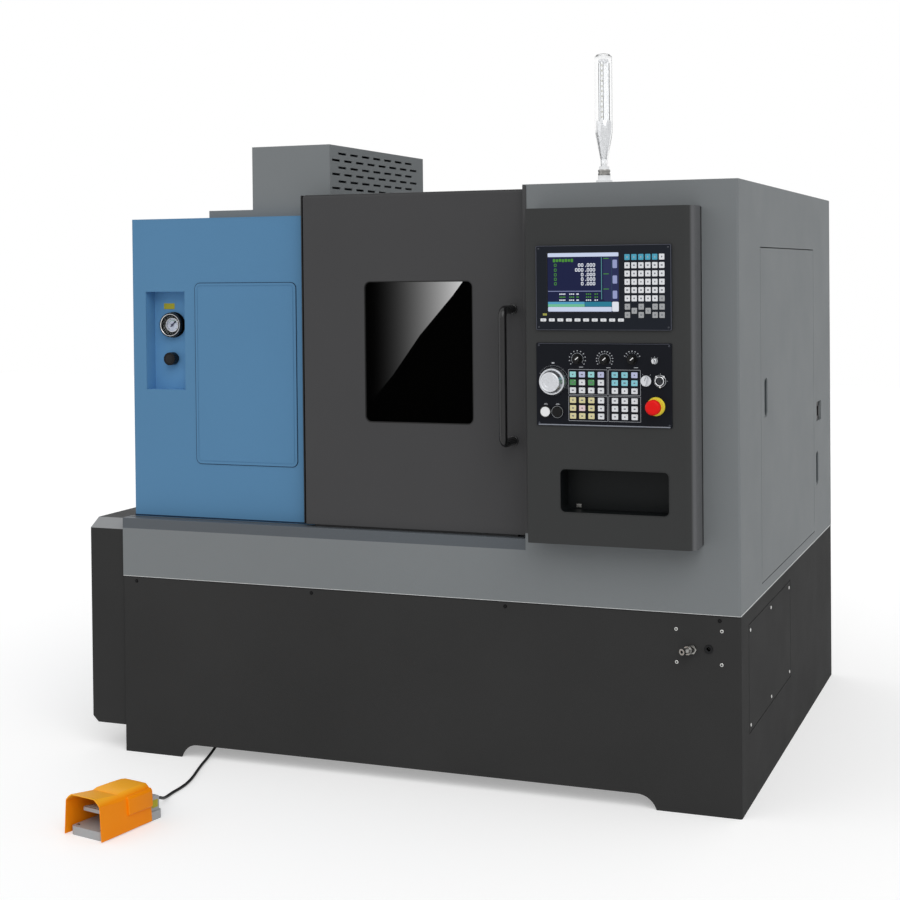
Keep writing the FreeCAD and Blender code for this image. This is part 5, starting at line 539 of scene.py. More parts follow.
# -------- blue headstock cover
# Folded sheet cover with a welded niche, and a screwed access cover with a pressed border, both
# sprayed blue. The niche holds a flanged gauge, a plain tag and the regulator's knob.
GAUGE_AT = (-0.806, -0.692, 1.381)
REGULATOR_AT = (-0.806, -0.692, 1.271)
REGULATOR_FACE = (-0.806, -0.7263, 1.271)
TAG_AT = (-0.823, -0.692, 1.4415)
COVER_FACE_Y = -0.747
NEEDLE_TURN = radians(45)
TICK = ((0, -0.1), (0, 0.1))

# inside the niche's box the blue is painted lighter: painted light over the shade in the niche
dress(coat("blue_paint", (86, 131, 168), 0.5, 0.1, tone=0.02,
           within=((-0.885, -0.7455, 1.165), (-0.727, -0.68, 1.497), (98, 150, 194))), "headstock_cover",
      "access_cover")
# dark blue strips round the access cover and along the cover's lower edge: painted shadow lines at those
# joints
blue_shadow = coat("cover_shadow_strips", (30, 46, 66), 0.6, 0.1, tone=0.06)
band((-0.5145, COVER_FACE_Y, 1.227), 362.6, 581.6, 19.5,
     ((0, -0.1), (0, 1.8), (0.5, 2.2), (1.7, 2.2), (1.7, -0.1)), steps=8)
slab((-0.6015, COVER_FACE_Y, 0.7625), 650, 4, 1, ((0, -0.2), (0, 1.2), (0.5, 1.6)))
piece("cover_shadow_lines", [blue_shadow])
gauge_steel = metal("gauge_steel", (40, 42, 42), 0.3, tone=0.1)
chrome = metal("chrome_plate", (214, 215, 217), 0.12, tone=0.03)
dress(gauge_steel, "air_unit")
for name, steel, profile in (
        ("gauge_bezel", chrome, [(33.6, 16.5), (33.6, 25.8), (34.5, 26.8), (35.8, 26.8), (37.2, 24.4),
                                 (37.2, 17.5), (36, 16)]),
        ("gauge_rim", gauge_steel, [(37.4, 15.8), (37.4, 23.8), (38.4, 24.4), (39.8, 23.2), (40.2, 21),
                                    (40.2, 16)]),
        ("gauge_cone", gauge_steel, [(33.2, 13), (33.2, 19.6), (32.2, 20), (24, 13.2), (23.2, 13),
                                     (23.2, 12), (24, 11.9)]),
        ("gauge_ring", chrome, [(23, 12), (23, 13.4), (22.4, 13.7), (21.4, 13.4), (21.2, 12)])):
    turned(name, profile, GAUGE_AT, AHEAD, steel, 64, 30)
enamel = coat("dial_enamel", (196, 202, 220), 0.35, tone=0.02, fine=2500, peel=0.00001)
ink = coat("dial_ink", (20, 20, 22), 0.5, 0.2)
green_ink = coat("dial_green", (52, 150, 84), 0.5, 0.2)
turned_rings([(0, 8.1), (32.7, 8.1), (32.7, 8.8), (0, 8.8)], GAUGE_AT, AHEAD, 64)
for k in range(51):
    a = radians(225 - 270 * k / 50)
    long, wide = (4.2, 1) if k % 10 == 0 else (3.2 if k % 5 == 0 else 2.2, 0.5)
    slab(around(GAUGE_AT, 0.02 - long / 2000, a, 0.0088), long, wide, 0.1, TICK, FRONT, a, 1, 1)
for k in range(24):
    a = radians(150 - 120 * (k + 0.5) / 24)
    slab(around(GAUGE_AT, 0.0142, a, 0.0088), 1.2, 1.4, 0.1, TICK, FRONT, a, 2, 1)
piece("gauge_dial", [enamel, ink, green_ink])
lens_glass, tree, shader = new_material("gauge_lens")
feed(tree, shader, {"Base Color": (0.98, 0.99, 0.99, 1), "Roughness": mottle(tree, 40.0, 0.01, 0.05),
                    "Transmission Weight": 1.0, "IOR": 1.2})
turned("gauge_lens", [(0, 20.5), (33, 20), (33.4, 21), (33, 21.8), (20, 22.8), (0, 23.2)], GAUGE_AT, AHEAD,
       lens_glass, 64)
needle_blue = coat("needle_blue", (26, 30, 74), 0.4)
dress(needle_blue, "gauge_needle")
slab(around(GAUGE_AT, 0.0045, NEEDLE_TURN, 0.011), 25, 3.6, 1.2, ((0, -0.5), (0, 0.5), (0.4, 0.7)), FRONT,
     NEEDLE_TURN, 0, 2)
piece("needle_blade", [needle_blue], body="gauge_needle")
knob_black = coat("knob_black", (10, 10, 11), 0.35, 0.18, tone=0.06, fine=1600, peel=0.00003)
dress(knob_black, "regulator_knob")
turned("regulator_nut", [(11.4, 0.2), (17.5, 0.2), (17.5, 5.8), (16.5, 6.8), (11.4, 6.8)], REGULATOR_AT,
       AHEAD, black_plastic, 36, 25, ripple=0.05)
turned("regulator_cap", [(0, 0), (12.8, 0), (12.8, 0.5), (11.8, 0.9), (5, 1.2), (0, 1.2)], REGULATOR_FACE,
       AHEAD, black_plastic, 40, body="regulator_knob")
tag_yellow = coat("tag_yellow", (176, 168, 44), 0.5, 0.3, tone=0.08, fine=1500)
slab(TAG_AT, 40, 19, 2, ((0, 0.1), (0, 0.6), (0.3, 0.8)))
piece("niche_tag", [tag_yellow])

# -------- sliding door
# Folded door with a smoked safety window held in a rubber frame, and a bent tube handle seated in two
# collars. Dark strips along the joints at both of its upright edges are painted shade for those gaps.
DOOR_FACE_Y = -0.783
WINDOW_MID = (0.092, 1.3035)
WINDOW_SIZE = (354, 431)
HANDLE_X = 0.394
HANDLE_FEET = (1.0445, 1.4335)

door_paint = coat("door_paint", (69, 69, 70), 0.52, 0.1, tone=0.03)
dress(door_paint, "door_panel")
handle_paint = coat("handle_paint", (20, 20, 21), 0.22, 0.45, peel=0.00003)
dress(handle_paint, "door_handle")
smoked, tree, shader = new_material("smoked_glass")
feed(tree, shader, {"Base Color": linear((3, 3, 3)), "Roughness": mottle(tree, 3.0, 0.004, 0.012),
                    "Specular IOR Level": 1.0})
dress(smoked, "door_window")
rubber = coat("window_rubber", (20, 20, 20), 0.6, 0.3, tone=0.1, fine=900)
band((WINDOW_MID[0], DOOR_FACE_Y, WINDOW_MID[1]), *WINDOW_SIZE, 20,
     ((0, -3.8), (0, -0.4), (0.4, 0.4), (1.6, 0.4), (2.6, -0.4), (3, -1.6), (3.2, -3.8)), steps=8)
piece("window_rubber", [rubber], body="door")
for z in HANDLE_FEET:
    turned_rings([(12.4, 0.1), (15, 0.1), (15.2, 0.6), (15.2, 2.2), (14.4, 3), (13.2, 3.8), (12.4, 4)],
                 (HANDLE_X, DOOR_FACE_Y, z), AHEAD)
piece("handle_collars", [handle_paint], body="door")
# black strip on the door's left edge: painted shade in the gap to the blue cover
slab((-0.2933, -0.769, 1.277), 26, 1018, 2, ((0, 0.4), (0, 3.4), (1, 4.4)), ((0, 1, 0), UP, (-1, 0, 0)),
     steps=2)
piece("door_edge_shade_strip", [rubber], body="door")
# dark grey strip on the bay face by the door's right edge: painted shade in that gap
slab((0.44, -0.801, 1.2865), 11.8, 1021, 1.5, ((0, -0.1), (0, 1.2), (1.5, 2)), steps=2)
piece("bay_edge_shade_strip", [door_paint])

# -------- console
# Folded steel box with a rounded right edge and a moulded storage pocket, finished in a fine
# textured near-black. The rounded edge is painted lighter, a painted highlight, and the pocket's inside is
# painted darker, a painted shade. A small socket sits in the pocket's back.
CONSOLE_FACE_Y = -0.901
POCKET_BACK_Y = -0.821

# past x 0.951 a lighter grey is a painted highlight on the rounded edge; inside the pocket's box a
# near-black is painted shade
console_paint = coat("console_paint", (53, 54, 54), 0.45, 0.15, tone=0.03, fine=900, peel=0.00008,
                     past=((1, 0, 0), 0.951, (96, 97, 99), 0.006),
                     within=((0.571, -0.899, 0.856), (0.892, -0.81, 0.984), (14, 17, 18)))
dress(console_paint, "console_housing")
slab((0.6055, POCKET_BACK_Y, 0.8675), 16, 11, 1.5, ((0, 0.1), (0, 2), (0.6, 2.8), (3, 2.8), (3.2, 1.2)))
piece("pocket_socket", [nickel])
band((0.7315, CONSOLE_FACE_Y, 0.92), 317, 124, 15, ((0, -6), (0, 0.1), (-1.6, 0.2), (-1.2, 1), (0.2, 1.2),
                                                    (1, 0.2), (1.2, -6)))
piece("pocket_edge", [console_paint])
# dark strip on the console's right side by the wall: a painted shadow line
slab((0.963, -0.8055, 1.245), 8.8, 954, 1, ((0, -0.2), (0, 0.6), (0.4, 1)), RIGHT, steps=2)
piece("console_joint_shade_strip", [rubber])

# -------- control unit
# Moulded bezel with a lit screen, short-travel rubber keys in a grid, a row of soft keys under the
# screen and a pressed steel edge. The screen and the keys carry plain fields only.
UNIT_FACE_Y = -0.908
UNIT_MID = (0.705, 1.497)
SCREEN_FACE_Y = -0.9065
SCREEN_MID = (0.6475, 1.512)
KEY_FIRST = (0.7767, 1.582)
KEY_PITCH = (0.01975, 0.0231)
SOFT_FIRST = (0.53, 1.406)
SOFT_PITCH = 0.0253
CAP_TALL = 0.0014
# colour and fields (left, right, bottom, top) of the picture, in millimetres
PICTURE = {
    "dusk": ((40, 46, 84), [(707, 751.2, 1459.2, 1583.7)]),
    "pale": ((204, 214, 238), [(543.8, 751.2, 1584.6, 1595.5), (543.8, 731, 1429.8, 1442.8)]),
    "mauve": ((150, 158, 200), [(734, 747, 1551.6, 1575.2), (734, 747, 1508.2, 1530.9),
                                (734, 747, 1465.8, 1488.4), (543.8, 700, 1486.6, 1488.1)]),
    "cyan": ((92, 158, 158), [(701, 702.6, 1463.9, 1582.7)]),
    "blue": ((86, 160, 196), [(543.8, 652, 1450.7, 1457.3)]),
    "mint": ((112, 190, 150), [(543.8, 652, 1443.2, 1450.7)]),
    "teal": ((40, 124, 150), [(653, 731, 1443.6, 1457.3)]),
    "white": ((226, 230, 240), [(732, 751.2, 1429.8, 1457.3)]),
    "green": ((74, 140, 54), [(559 + 8.8 * k, 566.2 + 8.8 * k, 1569.8 + 0.6 * (k % 3), 1579 - 0.8 * (k % 2))
                              for k in range(7)] +
              [(707.5, 723, z, z + 2.2) for z in (1577.9, 1534.5, 1492)]),
    "line": ((50, 84, 92), [(731, 731.8, 1463.9, 1582.7)]),
}
WHITE, GREEN = 7, 8
PICTURE_ROWS = ((1561.0, 6), (1547.4, 7), (1534.2, 5), (1521.4, 5), (1508.7, 5))
STATUS_ROWS = ((1479.0, WHITE, GREEN), (1470.5, GREEN, GREEN), (1462.0, WHITE, WHITE))
STATUS_SPANS = ((577, 596), (606, 622), (628, 635), (655, 672), (680, 692))

dress(coat("unit_plastic", (24, 28, 36), 0.45, 0.1, fine=1300, peel=0.00004), "control_unit")
dress(lit_field("screen_dark", (24, 30, 66)), "display_screen")


def drawn(wide):
    """Section of a drawn outline."""
    return ((0, -0.1), (0, 0.08), (wide, 0.08), (wide, -0.1))


for k, (colour, fields) in enumerate(PICTURE.values()):
    for field in fields:
        printed(*(v / 1000 for v in field), SCREEN_FACE_Y - (0.00006 if k else 0.0), k)
for z, count in PICTURE_ROWS:
    z /= 1000
    band((0.566, SCREEN_FACE_Y, z), 7.5, 8.8, 2, drawn(1.7), index=GREEN, steps=2)
    for j in range(count):
        x = 0.6798 - 0.0086 * j
        if j == 3:
            printed(x + 0.0008, x + 0.0034, z - 0.005, z - 0.0026, SCREEN_FACE_Y, WHITE)
        else:
            band((x, SCREEN_FACE_Y, z), 7.2, 10, 2.4, drawn(2.1), index=WHITE, steps=2)
for z, left, right in STATUS_ROWS:
    z /= 1000
    for k, (x0, x1) in enumerate(STATUS_SPANS):
        count = max(2, round((x1 - x0) / 5.2))
        for j in range(count):
            x = (x0 + (x1 - x0) * (j + 0.5) / count) / 1000
            printed(x - 0.0019, x + 0.0019, z - 0.0019 + 0.0004 * (j % 2), z + 0.0019, SCREEN_FACE_Y,
                    left if k < 3 else right)
lit_inks = [lit_field("screen_" + name, colour) for name, (colour, fields) in PICTURE.items()]
piece("screen_picture", lit_inks)
band((SCREEN_MID[0], UNIT_FACE_Y, SCREEN_MID[1]), 215, 174, 3,
     ((0, 0.1), (0.6, 0.8), (2.2, 0.8), (3, 0), (3, -1.3), (2.6, -1.3)))
piece("screen_edge", [black_plastic])


def corner_screws(middle, dx, dz, y):
    """Domed screws at the four corners of a plate."""
    for x in (-dx, dx):
        for z in (-dz, dz):
            turned_rings([(0, -0.5), (2.8, -0.5), (2.8, 0.4), (2, 1), (0, 1.2)],
                         (middle[0] + x, y, middle[1] + z), AHEAD, 20, 1)


def key_plastics(tones):
    return [coat(name, colour, tone=0.03, fine=1800, peel=0.00002) for name, colour in tones]


edge_steel = metal("edge_steel", (84, 86, 96), 0.35, (1, 1, 12), 200, tone=0.06)
screw_steel = metal("screw_steel", (62, 64, 70), 0.3, tone=0.06)
band((UNIT_MID[0], UNIT_FACE_Y, UNIT_MID[1]), 394, 240, 5,
     ((0, -6.4), (0, 0), (0.7, 0.8), (1.6, 0.8), (2.2, 0), (0.4, -6.4)))
corner_screws(UNIT_MID, 0.1885, 0.1115, UNIT_FACE_Y)
piece("unit_edge", [edge_steel, screw_steel])
KEY_TONES = [("key_white", (226, 228, 232)), ("key_cyan", (70, 160, 188)), ("key_grey", (160, 162, 164)),
             ("key_mark", (120, 124, 130)), ("lamp_amber", (160, 160, 70))]
CAP = ((0, -0.3), (0, 1), (0.3, 1.4), (1.2, 1.58), (2.6, 1.4))
for row in range(8):
    for col in range(6):
        low = row >= 6 and col in (1, 3)
        if low and row == 7:
            continue
        x = KEY_FIRST[0] + col * KEY_PITCH[0]
        z = KEY_FIRST[1] - (row + (0.5 if low else 0)) * KEY_PITCH[1]
        tone = 1 if row == 0 and col < 5 else (2 if row >= 6 or (row == 5 and col == 5) else 0)
        slab((x, UNIT_FACE_Y, z), 15.2, 16.5, 1.5, CAP, FRONT, 0, tone, 2)
        wide = 0.0034 + 0.0012 * ((row * 5 + col * 3) % 3)
        printed(x - wide / 2, x + wide / 2, z - 0.0022, z + 0.0024, UNIT_FACE_Y - CAP_TALL,
                2 if tone == 1 else 3)
for k in range(10):
    x, z = SOFT_FIRST[0] + k * SOFT_PITCH, SOFT_FIRST[1]
    slab((x, UNIT_FACE_Y, z), 17, 8.5, 1.5, CAP, FRONT, 0, 0, 2)
    printed(x - 0.0025, x + 0.0025, z - 0.0008, z + 0.0008, UNIT_FACE_Y - CAP_TALL, 3)
printed(0.5285, 0.5405, 1.4185, 1.4245, UNIT_FACE_Y, 4)
unit_keys = piece("unit_keys", key_plastics(KEY_TONES))
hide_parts("control_keys")

# -------- operator panel
# Black printed plate with bright upper and lower edges, the lower one painted light grey, a painted
# highlight;
# domed keys in four framed blocks, and printed scales round the knobs, the handwheel and the locks.
PANEL_FACE_Y = -0.905
PANEL_MID = (0.704, 1.223)
BLOCK_FIRST = (0.615, 1.2517)
BLOCK_PITCH = (0.02697, 0.0224)
BLOCK_COLS = (0.0, 1.0, 2.0, 3.05, 4.55, 5.6, 6.65)
BLOCK_ROWS = (0.0, 1.0, 2.0, 3.25, 4.25, 5.25)
PANEL_TONES = [("panel_white", (222, 224, 228)), ("panel_aqua", (150, 212, 214)),
               ("panel_mauve", (186, 190, 222)), ("panel_green", (72, 140, 82)),
               ("panel_sky", (132, 200, 212)), ("panel_cream", (214, 205, 156)),
               ("panel_pink", (226, 200, 204)), ("panel_mark", (104, 108, 116))]
PANEL_PLAN = ("1212442", "3030444", "0000000", "5550000", "5650000", "5550000")
WHEEL_AT = (0.5565, PANEL_FACE_Y, 1.231)
KNOBS = [(0.6285, PANEL_FACE_Y, 1.295), (0.7085, PANEL_FACE_Y, 1.294), (0.788, PANEL_FACE_Y, 1.295)]
KNOB_SCALES = ((11, 250, 128), (13, 240, 122), (7, 130, 0))
SELECTOR_AT = (0.829, PANEL_FACE_Y, 1.2365)
LOCK_AT = (0.8685, PANEL_FACE_Y, 1.2365)
KEY_SWITCH_AT = (0.852, PANEL_FACE_Y, 1.292)
START_AT = (0.534, PANEL_FACE_Y, 1.1445)
HOLD_AT = (0.5695, PANEL_FACE_Y, 1.1445)
ESTOP_AT = (0.855, PANEL_FACE_Y, 1.165)
MARK = ((0, -0.1), (0, 0.08))

dress(coat("panel_black", (19, 21, 27), 0.45, 0.08, tone=0.06, fine=1500, peel=0.00003), "operator_panel")
for row, v in enumerate(BLOCK_ROWS):
    for col, u in enumerate(BLOCK_COLS):
        x, z = BLOCK_FIRST[0] + u * BLOCK_PITCH[0], BLOCK_FIRST[1] - v * BLOCK_PITCH[1]
        tone = int(PANEL_PLAN[row][col])
        slab((x, PANEL_FACE_Y, z), 18, 16, 1.5, CAP, FRONT, 0, tone, 2)
        wide = 0.004 + 0.0014 * ((row * 4 + col * 5) % 3)
        printed(x - wide / 2, x + wide / 2, z - 0.0018, z + 0.0018, PANEL_FACE_Y - CAP_TALL, 7)
        printed(x + 0.0055, x + 0.0073, z + 0.0045, z + 0.0063, PANEL_FACE_Y - CAP_TALL,
                3 if tone == 0 else 0)
panel_keys = piece("panel_key_caps", key_plastics(PANEL_TONES))
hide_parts("panel_keys")
print_white = coat("print_white", (176, 179, 184), 0.5, 0.3, tone=0.04, fine=2000, peel=0.00001)
for x0, x1 in ((0.6018, 0.716), (0.719, 0.812)):
    for z0, z1 in ((1.1945, 1.2662), (1.12, 1.1915)):
        band(((x0 + x1) / 2, PANEL_FACE_Y, (z0 + z1) / 2), (x1 - x0) * 1000, (z1 - z0) * 1000, 2, drawn(0.9),
             steps=3)
for at, (ticks, spread, reach) in zip(KNOBS, KNOB_SCALES):
    for j in range(ticks):
        a = radians(90 + spread / 2 - spread * j / (ticks - 1))
        slab(around(at, 0.0186, a), 2.6, 0.8, 0.2, MARK, FRONT, a, 0, 1)
        slab(around(at, 0.0238, a), 3.2, 2.6, 0.2, MARK, FRONT, 0, 0, 1)
    printed(at[0] + 0.005, at[0] + 0.017, at[2] - 0.0232, at[2] - 0.0214, PANEL_FACE_Y)
    if reach:
        turns = [radians(90 + reach - 2 * reach * j / 28) for j in range(29)]
        arc = ([(0.0174 * cos(a), 0.0174 * sin(a)) for a in turns] +
               [(0.0167 * cos(a), 0.0167 * sin(a)) for a in reversed(turns)])
        skin(at, [(arc, -0.0001), (arc, 0.00008)])
for j in range(36):
    a = radians(150 - 5 * j)
    slab(around(WHEEL_AT, 0.045, a), 3.4 if j % 5 == 0 else 2, 0.6, 0.2, MARK, FRONT, a, 0, 1)
printed(WHEEL_AT[0] - 0.004, WHEEL_AT[0] + 0.004, WHEEL_AT[2] + 0.0505, WHEEL_AT[2] + 0.0545, PANEL_FACE_Y)
for x, y, z in (START_AT, HOLD_AT):
    printed(x - 0.006, x + 0.006, z + 0.02, z + 0.0214, y)
    printed(x - 0.004, x + 0.004, z + 0.0226, z + 0.0238, y)
for at, r, turns in ((SELECTOR_AT, 0.0195, (123, 57)), (LOCK_AT, 0.0195, (90, 0)),
                     (KEY_SWITCH_AT, 0.0115, (45, 90, 135))):
    for a in map(radians, turns):
        slab(around(at, r, a), 3.8, 0.9, 0.2, MARK, FRONT, a, 0, 1)
piece("panel_print", [print_white])
# light grey for the panel's lower edge strip: a painted highlight
panel_rim_painted_highlight = coat("panel_rim_painted_highlight", (132, 136, 146), 0.35, fine=1500, peel=0.00002)
for z, tall, tone in ((1.3388, 2.4, 0), (1.1078, 3.4, 2)):
    slab((PANEL_MID[0], PANEL_FACE_Y, z), 384, tall, 1, ((0, -0.4), (0, 0.4), (0.8, 1.4)), index=tone)
corner_screws(PANEL_MID, 0.1895, 0.1105, PANEL_FACE_Y)
piece("panel_edge", [edge_steel, screw_steel, panel_rim_painted_highlight])

# -------- hand controls
# Turned aluminium handwheel, moulded rotary knobs with white pointer lines, silver selector, the
# chromed locks, and the push buttons in their rings.
POINTER = radians(50)
SELECTOR_TURN = radians(12)
PUSH_COLLAR = [(14.7, 3.5), (15.2, 5.2), (16.2, 5.6), (17.2, 4.8), (17.6, 3), (17.6, 0.1), (16.6, 0.1),
               (16.4, 3.8)]

silver = metal("silver_dial", (206, 208, 212), 0.3, (1, 14, 1), 260, tone=0.05)
dress(silver, "handwheel", "selector_switch")
dark_chrome = metal("dark_chrome", (60, 61, 64), 0.22, tone=0.05)
dress(dark_chrome, "ring_lock")
dress(chrome, "key_switch")
dress(knob_black, "override_knob_1", "override_knob_2", "override_knob_3", "hold_button")
button_white = coat("button_white", (232, 233, 234), 0.3, 0.5, tone=0.02, fine=1600, peel=0.00002)
dress(button_white, "start_button")
dress(coat("estop_red", (226, 16, 14), 0.36, 0.16, tone=0.04, fine=1600, peel=0.00002), "estop_head")
turned("wheel_face", [(0, -0.2), (26.2, -0.2), (26.2, 0.3), (25, 0.8), (24.3, 0.4), (17, 0.4), (16.6, 0.8),
                      (15.8, 0.4), (0, 0.4)], moved(WHEEL_AT, y=-0.0343), AHEAD, silver, 72,
       20, body="handwheel")
for k, at in enumerate(KNOBS):
    slab(around(at, 0.0043, pi / 2 - POINTER, 0.0195), 2.8, 11.8, 1, ((0, -0.3), (0, 0.1), (0.3, 0.3)),
         FRONT, -POINTER, 0, 3)
    piece("knob_pointer_%d" % (k + 1), [button_white], body="override_knob_%d" % (k + 1))
slab(around(SELECTOR_AT, 0.006, pi / 2 - SELECTOR_TURN, 0.0223), 1.6, 10, 0.6, ((0, -0.2), (0, 0.1)), FRONT,
     -SELECTOR_TURN, 0, 3)
piece("selector_line", [knob_black], body="selector_switch")
collar_steel = metal("collar_steel", (150, 152, 155), 0.25, tone=0.05)
collar_yellow = coat("collar_yellow", (240, 220, 66), 0.35, 0.3, tone=0.04, fine=1500, peel=0.00003)
for name, at, body, mat, slot, profile in (
        ("start_collar", START_AT, "machine", black_plastic, "chrome_parts", PUSH_COLLAR),
        ("hold_collar", HOLD_AT, "machine", dark_chrome, "chrome_parts", PUSH_COLLAR),
        ("hold_ring", HOLD_AT, "machine", collar_steel, "chrome_parts",
         [(16, 5.5), (16.3, 6), (17, 5.8), (17.4, 5), (17, 4.6)]),
        ("estop_collar", ESTOP_AT, "machine", collar_yellow, "panel_black",
         [(10, 6.1), (22.1, 6.1), (22.1, 6.6), (23.2, 6.4), (26.2, 1.2), (26.4, 0.1), (25.2, 0.1),
          (22.2, 5.9), (10, 5.8)]),
        ("lock_collar", LOCK_AT, "machine", collar_steel, "chrome_parts",
         [(15, 3), (15, 6), (15.8, 6.4), (17.2, 5.4), (17.6, 0.1), (16.8, 0.1), (16.6, 4.8), (15.4, 5.2)]),
        ("lock_rim", LOCK_AT, "ring_lock", chrome, "chrome_parts",
         [(11.2, 11.8), (11.2, 12.6), (12, 13), (13, 12.6), (13.2, 11.8)])):
    turned(name, profile, at, AHEAD, mat, 64 if name == "estop_collar" else 48, 30, body=body)
for a in (50, 130, 270):
    turned_rings([(0, 4), (3.4, 4), (3.4, 7.6), (2.4, 8.8), (0, 9)], around(LOCK_AT, 0.016, radians(a)),
                 AHEAD, 16)
piece("lock_studs", [chrome], 30)
# near-black cup in the lock's mouth: painted shade
turned_rings([(0, -12), (10, -12), (10.4, -4), (10, 0), (9.6, -4), (9, -11.2), (0, -11.2)],
             moved(LOCK_AT, y=-0.012), AHEAD, 40)
piece("lock_well_shade", [hollow_shade_and_dark_rail], 30, body="ring_lock")
turned("key_switch_collar", [(6.8, 0.1), (9.8, 0.1), (9.8, 1.4), (9, 2.4), (6.8, 2.6)], KEY_SWITCH_AT, AHEAD,
       collar_steel, 36, 30)
band(moved(KEY_SWITCH_AT, 0.0013, -0.017), 9.2, 17.2, 4.4,
     ((0, 0.1), (0, 0.7), (0.7, 1.1), (1.4, 0.7), (1.4, 0.1)), (AHEAD, UP, (1, 0, 0)), steps=5)
turned_rings([(6.6, 8.8), (6.6, 9.4), (5.8, 9.8), (5, 9.4), (5, 8.8)], KEY_SWITCH_AT, AHEAD, 32)
piece("key_bow_edge", [chrome], 30, body="key_switch")

# -------- spindle, chuck and motor
# Cast and painted headstock, ground spindle, hardened chuck with its jaws, aluminium rotating
# cylinder, black finned motor and a ribbed rubber belt.
casting_paint = coat("casting_paint", (138, 142, 144), 0.5, 0.35, fine=240, peel=0.0003)
dress(casting_paint, "headstock")
dress(metal("ground_steel", (176, 178, 180), 0.24, (30, 1, 1), 90, tone=0.05), "spindle", "z_ball_screw",
      "motor_pulley")
dress(metal("slide_ground_steel", (176, 178, 180), 0.24, (1, 30, 30), 90, tone=0.05), "x_ball_screw")
dress(metal("chuck_steel", (150, 152, 155), 0.28, (1, 8, 8), 160, tone=0.06), "chuck_body", "chuck_jaw_1",
      "chuck_jaw_2", "chuck_jaw_3")
dress(metal("cylinder_aluminium", (190, 192, 194), 0.34, (20, 1, 1), 90, tone=0.04), "hydraulic_cylinder")
motor_black = coat("motor_black", (36, 37, 39), 0.45, tone=0.06, fine=500, peel=0.0001)
dress(motor_black, "spindle_motor", "z_servo", "x_servo")
dress(coat("belt_rubber", (26, 26, 26), 0.65, 0.25, tone=0.08, fine=350, peel=0.0002), "drive_belt")
CHUCK_FACE_X = -0.057
SPINDLE_LINE = (-0.321, 1.08)
JAW_FROM, JAW_LONG = 0.032, 0.046
socket_black = coat("socket_black", (30, 30, 31), 0.4, 0.5, tone=0.06)
for k in range(3):
    t = radians(120 * k)
    for r in (JAW_FROM + JAW_LONG * 0.62, JAW_FROM + JAW_LONG * 0.85):
        at = (CHUCK_FACE_X + 0.036, SPINDLE_LINE[0] - r * sin(t), SPINDLE_LINE[1] + r * cos(t))
        turned_rings([(0, -8.5), (4.2, -8.5), (4.2, -2.2), (3.8, -1.6), (2.4, -1.6), (2.2, -4.5), (0, -4.5)],
                     at, (1, 0, 0), 24)
    piece("jaw_screws_%d" % (k + 1), [socket_black], 30, body="chuck_jaw_%d" % (k + 1))

# -------- bed, slides and turret
# Painted castings with ground ways: a plane through the slant separates paint from bare steel. The
# turret disc is burnished steel.
SLANT = radians(35)
OFF_SLANT = (0.0, -sin(SLANT), cos(SLANT))
WAYS_UNDER_SPINDLE = 0.3295
WAY_PLANE = SPINDLE_LINE[0] * -sin(SLANT) + SPINDLE_LINE[1] * cos(SLANT) - WAYS_UNDER_SPINDLE
BARE_STEEL = (167.84, 169.75, 171.67)
dress(coat("bed_paint", (138, 142, 144), 0.45, fine=240, peel=0.0003,
           past=(OFF_SLANT, WAY_PLANE, BARE_STEEL, 0.0004)), "bed_casting")
dress(casting_paint, "saddle", "cross_slide")
dress(metal("burnished_steel", (112, 114, 118), 0.3, (4, 1, 1), 160), "turret_disc")

# -------- chamber liner and electrical plate
# Brushed stainless sheets round the working space, and the zinc-plated mounting plate at the back
# with its drives, contactors and ribbed wiring ducts.
dress(metal("stainless_sheet", (168, 170, 172), 0.3, (1, 1, 16), 120, tone=0.06), "chamber_liner")
duct_grey = coat("duct_grey", (150, 154, 156), 0.5, 0.35, tone=0.04)
dress(duct_grey, "electrical_plate")
FIN = ((0, 0), (0.4, 0.8))
for x in (-0.052, 0.078, 0.208):
    slab((x, 0.815, 1.38), 94, 294, 4, ((0, 0.1), (0, 1.6), (1.2, 3)), BACK)
    for j in range(9):
        slab((x, 0.818, 1.3 + 0.012 * j), 70, 4, 1.5, FIN, BACK, index=1, steps=2)
    slab((x, 0.818, 1.48), 46, 30, 3, ((0, 0), (0.6, 1.2)), BACK, index=1)
slab((0.428, 0.845, 1.36), 212, 330, 6, ((0, 0.1), (0, 2), (1.5, 3.5)), BACK)
for j in range(14):
    slab((0.428, 0.8485, 1.24 + 0.012 * j), 160, 4, 1.5, FIN, BACK, index=1, steps=2)
for k in range(6):
    at = (-0.078 + 0.062 * k, 0.74, 1.0425)
    slab(at, 44, 50, 3, ((0, 0.1), (0, 4), (2, 6)), BACK)
    for dx in (-0.014, 0.0, 0.014):
        for dz in (-0.034, 0.034):
            turned_rings([(0, 0), (4.2, 0), (4.2, 1.6), (3.4, 2.4), (0, 2.4)], moved(at, dx, 0.0, dz),
                         (0, 1, 0), 12, 2)
for z in (0.79, 0.96, 1.165):
    for j in range(58):
        slab((-0.132 + 0.012 * j, 0.715, z), 7.2, 34, 1, ((0, 0.1), (0.3, 1.2)), BACK, index=2, steps=1)
piece("cabinet_devices", [motor_black, black_plastic, duct_grey])

# -------- tower lamp
# Clear acrylic tube over white light strips between dark rails, with a satin reflector in its neck.
# The whole core glows faintly, a painted light that brightens it. It stands on the control bay's roof in a
# nickelled nut.
LAMP_AXIS = Vector((0.657, -0.711, 0))
STRIPS_FROM_Z = 1.983
